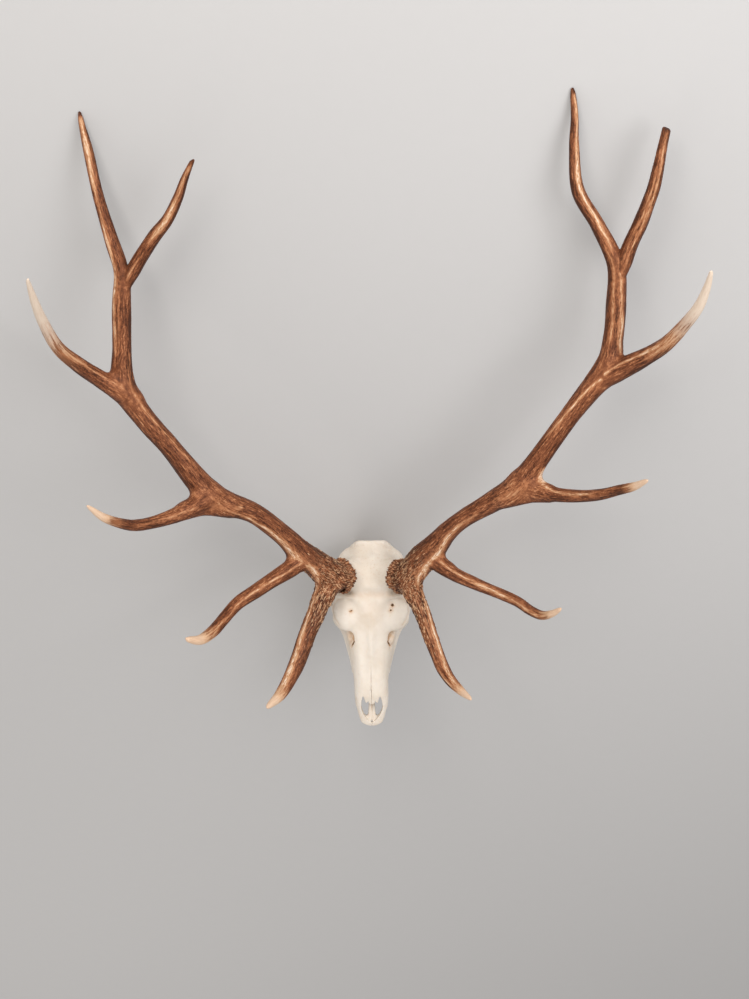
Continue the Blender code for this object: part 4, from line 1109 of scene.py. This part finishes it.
def onBranches(points, walks):  # where each point lies on its nearest branch
    count = len(points)
    found = {name: np.zeros(count) for name in ("along", "left", "radius", "turn")}
    found |= {name: np.full(count, far) for name in ("gap", "next")}
    found |= {name: np.zeros((count, 3)) for name in ("flow", "way")}
    found["owner"] = np.zeros(count, int)
    for number, (line, along) in enumerate(walks.values()):
        low, high = line[:, :3].min(0) - 4.5, line[:, :3].max(0) + 4.5
        chosen = np.where(((points > low) & (points < high)).all(1))[0]
        near = points[chosen]
        ahead, one, two = acrossAxes(line)
        nearest = np.concatenate([
            np.argmin(((some[:, None] - line[None, :, :3]) ** 2).sum(2), axis=1)
            for some in np.array_split(near, max(1, len(chosen) // 8000))
        ])
        step = ((near - line[nearest, :3]) * ahead[nearest]).sum(1)
        spot = np.clip(nearest + step / along[1], 0, len(line) - 1.001)
        base = spot.astype(int)
        share = (spot - base)[:, None]
        centre, forward, aside, over = (
            table[base] * (1 - share) + table[base + 1] * share for table in (line, ahead, one, two)
        )
        apart = near - centre[:, :3]
        offset = apart - forward * (apart * forward).sum(1)[:, None]
        gap = np.linalg.norm(apart, axis=1) - centre[:, 3]
        closer = gap < found["gap"][chosen]
        behind = np.maximum(gap, found["gap"][chosen])
        found["next"][chosen] = np.minimum(found["next"][chosen], behind)
        toSide = np.stack([forward[:, 1], -forward[:, 0], 0 * forward[:, 0]], axis=1)
        toSide /= np.linalg.norm(toSide, axis=1)[:, None]
        inward = np.cross(toSide, forward)
        place = spot * along[1]
        values = {
            "gap": gap, "along": place, "left": along[-1] - place, "radius": centre[:, 3],
            "turn": np.arctan2((offset * toSide).sum(1), (offset * inward).sum(1)),
            "owner": np.full(len(chosen), number), "way": forward,
            "flow": np.stack([(offset * aside).sum(1), (offset * over).sum(1),
                              place + 40.0 * number], axis=1),
        }
        for key, value in values.items():
            found[key][chosen[closer]] = value[closer]
    return found


def wornDown(side, names, found):  # how plainly each point is on one of the rubbed lines
    worn = np.zeros(len(found["along"]))
    for number, name in enumerate(names):
        rows = np.where(found["owner"] == number)[0]
        along = found["along"][rows]
        nothing = 0 * along
        waver = 0.05 * grain(np.stack([along / 2.3, nothing, nothing], axis=1), 51)
        swell = 1 + 0.35 * grain(np.stack([along / 3.1, nothing + 9, nothing], axis=1), 53)
        for line in wornLines[side][name]:
            table = np.array(line).T
            first, last = table[0][0], table[0][-1]
            across, wide, plain = (np.interp(along, table[0], table[i]) for i in (1, 2, 3))
            gap = found["turn"][rows] - np.arcsin(across) + waver
            gap = gap * found["radius"][rows] / (wide * swell)
            ends = smoothStep(first - 2, first + 0.5, along)
            ends *= smoothStep(last + 2.5, last - 0.5, along)
            shape = 0.6 * hump(gap, 1.5) + 0.4 * hump(gap, 0.65)
            worn[rows] = np.maximum(worn[rows], plain * ends * shape)
    return worn


def buildAntler(side, sign, material):
    walks = {name: walk(route, antler["step"]) for name, route in branches[side].items()}
    names = list(walks)
    for name in names[1:]:  # a tine's root stays inside the beam
        line, along = walks[name]
        grown = smoothStep(0, antler["rootLength"], along)
        line[:, 3] *= antler["rootShare"] + (1 - antler["rootShare"]) * grown
    block = fillAntler(side, sign, walks)
    mesh = rawMesh(side + "Antler", *surfaceNet(block), antler["mostTriangles"])
    points, normals = readMesh(mesh)
    hollow = hollowness(block, points, 0.9, 2)
    found = onBranches(points, walks)
    owner, flow = found["owner"], found["flow"]
    onBrow = owner == names.index("brow")
    centre, axis, _, _ = burrFrame(sign)
    fromBurr = np.linalg.norm(points - centre, axis=1)
    web = smoothStep(0.05, 0.45, found["gap"])  # how far out of the plain branches it stands
    fork = smoothStep(1.9, 0.3, found["next"] - found["gap"]) * smoothStep(2.4, 1.2, found["next"])
    ivory = np.array([antler["ivory"][side][name] for name in names])[owner]
    tip = np.clip(1.5 - 1.5 * found["left"] / ivory, 0, 1) * (ivory > 0.1)
    bare = np.array([antler["paleness"][name] for name in names])[owner]
    pearly = antler["browPearls"] * onBrow * smoothStep(26, 8, found["along"])
    pearly = np.clip(smoothStep(*antler["pearlsReach"], fromBurr) + pearly, 0, 1)
    # Painted shadow in the nick under the right burr: it counts as deep hollow, and has no pearls
    if side == "right":
        fromNick = (points - antler["nick"]) / antler["nickShade"]
        inNick = np.exp(-np.linalg.norm(fromNick, axis=1) ** 4)
        hollow += inNick
        pearly *= 1 - np.clip(2 * inNick, 0, 1)
    smooth = 1 - smoothStep(0.1, 0.9, tip)
    crest = wornDown(side, names, found)
    for start, end, wide, plain in antler["patches"][side]:
        way = np.array(end) - start
        share = np.clip((points - start) @ way / (way @ way), 0, 1)[:, None]
        gap = np.linalg.norm(points - start - share * way, axis=1)
        crest = np.maximum(crest, plain * hump(gap, wide))
    # Painted shade: darker on the sides that turn away from the front, most on those facing the
    # nose's end, away from the main lamp
    flankShade = smoothStep(0.8, 0.1, normals[:, 2]) * (1 - 0.8 * normals[:, 1])
    # Long ridges and grooves that wander along the branch, and pearls near the burr
    size = np.array(antler["ridgeSize"])
    ridges = (1 - 2 * np.abs(grain(flow / size, 31))) * 0.65
    ridges += grain(flow / (size * (0.5, 0.5, 0.6)), 37) * 0.45
    knobs = np.clip(grain(points / 0.42, 41) - 0.1, 0, 1) * 1.6 + 0.5 * grain(points / 0.8, 43)
    relief = (ridges * (1 - 0.45 * pearly) + knobs * pearly) * smooth
    depth = 0.055 + 0.035 * np.clip(found["radius"] / 3.3, 0, 1) + 0.05 * pearly
    lift = relief * depth * (1 - 0.4 * web) * (1 - 0.6 * fork) + 0.07 * crest * smooth
    lift *= smoothStep(0.0, 0.25, (points - centre) @ axis)
    for name, dark in antler["darkEnds"][side].items():
        toEnd = np.linalg.norm(points - walks[name][0][-1, :3], axis=1)
        atEnd = smoothStep(1.2, 0.4, toEnd)
        relief, crest = relief - dark * atEnd, crest * (1 - atEnd)
    marks = {"flow": flow, "relief": relief, "crest": crest, "tip": tip, "pearly": pearly,
             "hollow": hollow, "bare": bare, "flankShade": flankShade, "web": web, "fork": fork,
             "way": found["way"] @ tiltTurn.T}
    piece = finishPiece(mesh, points + normals * lift[:, None], material, marks)
    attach(piece, "root")
    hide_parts(side + "_main_beam",
                *(f"{side}_{name}_tine" for name in names if name != "beam"))
    print(side, "antler:", len(mesh.polygons), "faces")
    return piece


# One cheek tooth: length along the row, width, and how many lobes it has
teeth = {
    "sizes": {
        "premolar_2": (1.75, 1.5, 1), "premolar_3": (1.8, 1.8, 1), "premolar_4": (1.8, 2.0, 1),
        "molar_1": (2.5, 2.2, 2), "molar_2": (2.8, 2.35, 2), "molar_3": (2.75, 2.2, 2),
    },
    "front": (3.45, -23.4),
    "back": (4.35, -9.7),
    "spacing": 0.05,
    "neck": 1.72,  # heights from the chewing plane up, in cm
    "shoulder": 0.34,
    "crown": 0.27,
    "rounding": 0.16,
    "waist": 0.13,  # how deep the fold between two lobes is
    "squareness": (0.72, 0.82),  # along the row and across it, 1 for an oval
    "around": 72,
    "levels": 26,
    "sideShare": 0.45,  # how many of the levels are on the side
}
toothLook = {
    "enamel": (0.80, 0.71, 0.55),
    "neck": (0.58, 0.42, 0.25),
    "dentine": (0.33, 0.19, 0.09),
    "roughness": 0.32,
}


def makeEnamel():
    look = toothLook
    material, shader, place = startMaterial("toothEnamel")
    worn, neck = place.marks("worn", "neck")
    fine = place.streaks(900.0, 160.0, 3.0, 0.6)
    patch = place.noise(160.0, 3.0, 0.6)
    colour = (fine - 0.5) * 0.5 + patch.between(0.35, 0.75) * 0.5
    colour = layered(colour.mix(look["enamel"], look["neck"]), look, (
        (neck * patch.between(0.25, 0.65), "neck"),
        (worn * (0.7 + patch * 0.3), "dentine"),
    ))
    plug(shader, Base_Color=colour, Roughness=look["roughness"] + worn * 0.3,
         Normal=(fine + patch).bump(0.3, 0.0005))
    return material


def crownShape(u, v, lobes):  # the chewing surface: its height and where dentine shows
    height, worn = np.zeros_like(u), np.zeros_like(u)
    for lobe in range(lobes):
        middle = (lobe + 0.5) / lobes * 2 - 1
        for side in (-1, 1):
            # A crescent of enamel round each half of the lobe, bowed outwards
            across = (v - side * 0.42) / 0.46
            length = (u - middle) * lobes / 0.92
            bow = across - side * 0.55 * (1 - length ** 2)
            ring = np.abs(np.sqrt((length * 0.9) ** 2 + (bow * 1.35 + side * 0.35) ** 2) - 0.72)
            height = np.maximum(height, hump(ring, 0.16) * 0.20)
            worn = np.maximum(worn, smoothStep(0.16, 0.30, ring) * (np.abs(across) < 1.0))
    return height, worn


def buildTooth(name, sign, centre, along, length, width, lobes, material):
    count, levels, side = teeth["around"], teeth["levels"], teeth["sideShare"]
    angle = math.tau * (np.arange(count) + 0.5) / count
    waist = 1 - teeth["waist"] * (lobes - 1) * np.clip(-np.cos(2 * angle), 0, 1) ** 6
    u, v = (np.sign(wave) * np.abs(wave) ** power
            for wave, power in zip((np.cos(angle), np.sin(angle)), teeth["squareness"]))
    v = v * waist
    ribs = 1 + 0.025 * np.cos(angle * 6 * lobes) * (v > 0)
    rows, wornRows, neckRows = [], [], []
    for share in (i / (levels - 1) for i in range(levels)):
        if share < side:  # down the side
            down = share / side
            shrink = 0.93 + 0.07 * math.sin(math.pi * min(1, down * 0.9)) ** 0.7
            height = np.full(count, teeth["neck"] + (teeth["shoulder"] - teeth["neck"]) * down)
            rows.append((u * shrink * ribs, v * shrink * ribs, height))
            wornRows.append(np.zeros(count))
            neckRows.append(np.full(count, max(0.0, 1 - down * 1.4)))
        else:  # in over the crown
            inwards = (1 - (share - side) / (1 - side)) ** 0.85 * 0.97
            rise, worn = crownShape(u * inwards, v * inwards, lobes)
            edge = smoothStep(0.93, 1.0, inwards)
            rounding = teeth["rounding"] * smoothStep(0.8, 1.0, inwards)
            height = teeth["crown"] + rounding - rise * (1 - edge * 0.5)
            rows.append((u * inwards, v * inwards, height))
            wornRows.append(worn * (1 - smoothStep(0.9, 0.97, inwards)))
            neckRows.append(np.zeros(count))
    across = np.array((along[1], -along[0], 0)) * sign
    points = np.array([
        centre + along * (a * length * 0.5) + across * (b * width * 0.5) + (0, 0, max(h, 0.03))
        for row in rows for a, b, h in zip(*row)
    ])
    faces = []
    for i in range(0, (levels - 1) * count, count):
        for j in range(count):
            k = (j + 1) % count
            faces.append((i + j, i + k, i + count + k, i + count + j))
    faces += [range(count)[::-1], range((levels - 1) * count, levels * count)]
    mesh = bpy.data.meshes.new(name)
    mesh.from_pydata(points.tolist(), [], faces)
    shape = bmesh.new()
    shape.from_mesh(mesh)
    bmesh.ops.triangulate(shape, faces=[face for face in shape.faces if len(face.verts) > 4])
    bmesh.ops.recalc_face_normals(shape, faces=shape.faces)
    shape.to_mesh(mesh)
    shape.free()
    return finishPiece(mesh, points, material,
                       {"worn": np.concatenate(wornRows), "neck": np.concatenate(neckRows)})


def buildTeeth(material):
    sizes = teeth["sizes"]
    total = sum(size[0] for size in sizes.values()) + teeth["spacing"] * (len(sizes) - 1)
    for side, sign in sides.items():
        start, end = (np.array((sign * x, y, 0)) for x, y in (teeth["front"], teeth["back"]))
        along = unit(end - start)
        stretch = np.linalg.norm(end - start) / total
        reach = 0.0
        for name, (length, width, lobes) in sizes.items():
            centre = start + along * stretch * (reach + length / 2)
            title = side + name.title().replace("_", "")
            tooth = buildTooth(title, sign, centre, along, length * stretch, width, lobes, material)
            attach(tooth, "root")
            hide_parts(f"{side}_{name}")
            reach += length + teeth["spacing"]
    print("teeth:", len(sides) * len(sizes))


pearls = {
    "density": 40000.0,  # most pearls to a square metre
    "apart": 0.0024,  # metres
    "small": 0.0005,
    "large": 0.0013,
    "stretch": 4.3,
    "seed": 7,
}


def pearlTree(material):
    tree = bpy.data.node_groups.new("antlerPearls", "GeometryNodeTree")
    for way in ("OUTPUT", "INPUT"):
        tree.interface.new_socket("Geometry", in_out=way, socket_type="NodeSocketGeometry")
    for name in ("Density", "Small", "Large", "Stretch", "Seed"):
        kind = "NodeSocketInt" if name == "Seed" else "NodeSocketFloat"
        tree.interface.new_socket(name, in_out="INPUT", socket_type=kind)
    start = Wire(tree)
    given = start.node("NodeGroupInput")
    small, large, seed = given.also("Small"), given.also("Large"), given.also("Seed")
    weight, way = (
        start.node("GeometryNodeInputNamedAttribute", {"data_type": kind}, {"Name": name})
        for name, kind in (("pearly", "FLOAT"), ("way", "FLOAT_VECTOR"))
    )
    spread = {"Mesh": given, "Distance Min": pearls["apart"], "Density Max": given.also("Density"),
              "Density Factor": weight, "Seed": seed}
    scattered = start.node("GeometryNodeDistributePointsOnFaces",
                           {"distribute_method": "POISSON"}, spread)
    turn = start.node("FunctionNodeAlignRotationToVector", {"axis": "Z"},
                      {"Rotation": scattered.also("Rotation"), "Vector": way})
    size = start.node("FunctionNodeRandomValue", {"data_type": "FLOAT"},
                      {2: small, 3: large, "Seed": seed}, 1)
    long = size * given.also("Stretch")
    scale = start.node("ShaderNodeCombineXYZ", None, {"X": size, "Y": size, "Z": long})
    bead = start.node("GeometryNodeMeshUVSphere", None, {"Segments": 8, "Rings": 5, "Radius": 1.0})
    placed = start.node("GeometryNodeInstanceOnPoints", None, {
        "Points": scattered, "Instance": bead, "Rotation": turn, "Scale": scale})
    shine = start.node("FunctionNodeRandomValue", {"data_type": "FLOAT"}, {"Seed": 3}, 1)
    marked = start.node("GeometryNodeStoreNamedAttribute",
                        {"data_type": "FLOAT", "domain": "INSTANCE"},
                        {"Geometry": placed, "Name": "bead", "Value": shine})
    real = start.node("GeometryNodeRealizeInstances", None, {"Geometry": marked})
    dressed = start.node("GeometryNodeSetMaterial", None, {"Geometry": real, "Material": material})
    fill(tree.nodes.new("NodeGroupOutput").inputs[0], dressed)
    return tree


def scatterPearls(antlerPiece, tree, seed):
    modifier = antlerPiece.modifiers.new("pearls", "NODES")
    modifier.node_group = tree
    values = {name: pearls[name.lower()] for name in ("Density", "Small", "Large", "Stretch")}
    values["Seed"] = seed
    for item in tree.interface.items_tree:
        if item.in_out == "INPUT" and item.name in values:
            modifier[item.identifier] = values[item.name]
    graph = bpy.context.evaluated_depsgraph_get()
    mesh = bpy.data.meshes.new_from_object(antlerPiece.evaluated_get(graph))
    antlerPiece.modifiers.remove(modifier)
    mesh.name = antlerPiece.name + "Pearls"
    mesh.shade_smooth()
    piece = addObject(mesh.name, mesh)
    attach(piece, "root")
    print(mesh.name, len(mesh.polygons), "faces")


studio = {
    "cameraSpot": (0.84, 17.9, 343.0),  # cm in the skull's frame
    "lens": 50.0,
    "film": 36.0,  # mm
    "sight": 40.0,  # metres
    "floor": (0.47, 0.46, 0.455),
    "floorSize": 18.0,  # metres
    "sky": (1.0, 0.985, 0.97),
    "skyStrength": 0.63,
    # where each lamp stands and its aim, in metres, its size and power
    "lamps": {
        "main": ((-0.7, 3.2, 2.2), (0.0, 0.0, 0.2), 1.8, 94.0, (1.0, 0.975, 0.94)),
        "fill": ((1.9, 1.6, 2.2), (0.0, 0.0, 0.2), 1.8, 54.0, (0.98, 0.985, 1.0)),
        "back": ((-1.6, -2.6, 2.2), (0.0, -0.1, 0.2), 2.0, 18.0, (1.0, 0.98, 0.95)),
    },
}


def buildStudio():
    mesh = bpy.data.meshes.new("studioFloor")
    half, tone = studio["floorSize"] / 2, studio["floor"]
    corners = [(-half, -half, 0), (half, -half, 0), (half, half, 0), (-half, half, 0)]
    mesh.from_pydata(corners, [], [(0, 1, 2, 3)])
    floor = addObject("studioFloor", mesh)
    material, shader, place = startMaterial("palePaper")
    grainy = place.noise(30.0, 3.0, 0.6) * 0.5
    plug(shader, Base_Color=grainy.mix(tone, tuple(c * 0.96 for c in tone)), Roughness=0.85)
    mesh.materials.append(material)
    sky = bpy.data.worlds.new("softSky")
    bpy.context.scene.world = sky
    sky.use_nodes = True
    plug(sky.node_tree.nodes["Background"], Color=studio["sky"], Strength=studio["skyStrength"])
    for name, (spot, aim, size, power, colour) in studio["lamps"].items():
        lamp = bpy.data.lights.new(name + "Lamp", "AREA")
        lamp.shape, lamp.size, lamp.energy, lamp.color = "SQUARE", size, power, colour
        holder = addObject(lamp.name, lamp)
        holder.location = spot
        holder.rotation_euler = (Vector(aim) - Vector(spot)).to_track_quat("-Z", "Y").to_euler()
    view = bpy.data.cameras.new("frontCamera")
    view.lens, view.sensor_width, view.clip_end = studio["lens"], studio["film"], studio["sight"]
    camera = addObject("frontCamera", view)
    camera.location = toWorld(np.array(studio["cameraSpot"]))
    camera.rotation_euler = (rest["tilt"], 0, 0)
    bpy.context.scene.camera = camera
    bpy.context.scene.view_settings.view_transform = "Standard"
    print("studio: floor, sky,", len(studio["lamps"]), "lamps and the camera")


buildStudio()
bone, grownAntler, enamel = makeBone(), makeAntler(), makeEnamel()
buildSkull(bone)
scatter = pearlTree(grownAntler)
for number, (side, sign) in enumerate(sides.items()):
    scatterPearls(buildAntler(side, sign, grownAntler), scatter, pearls["seed"] + number)
buildTeeth(enamel)
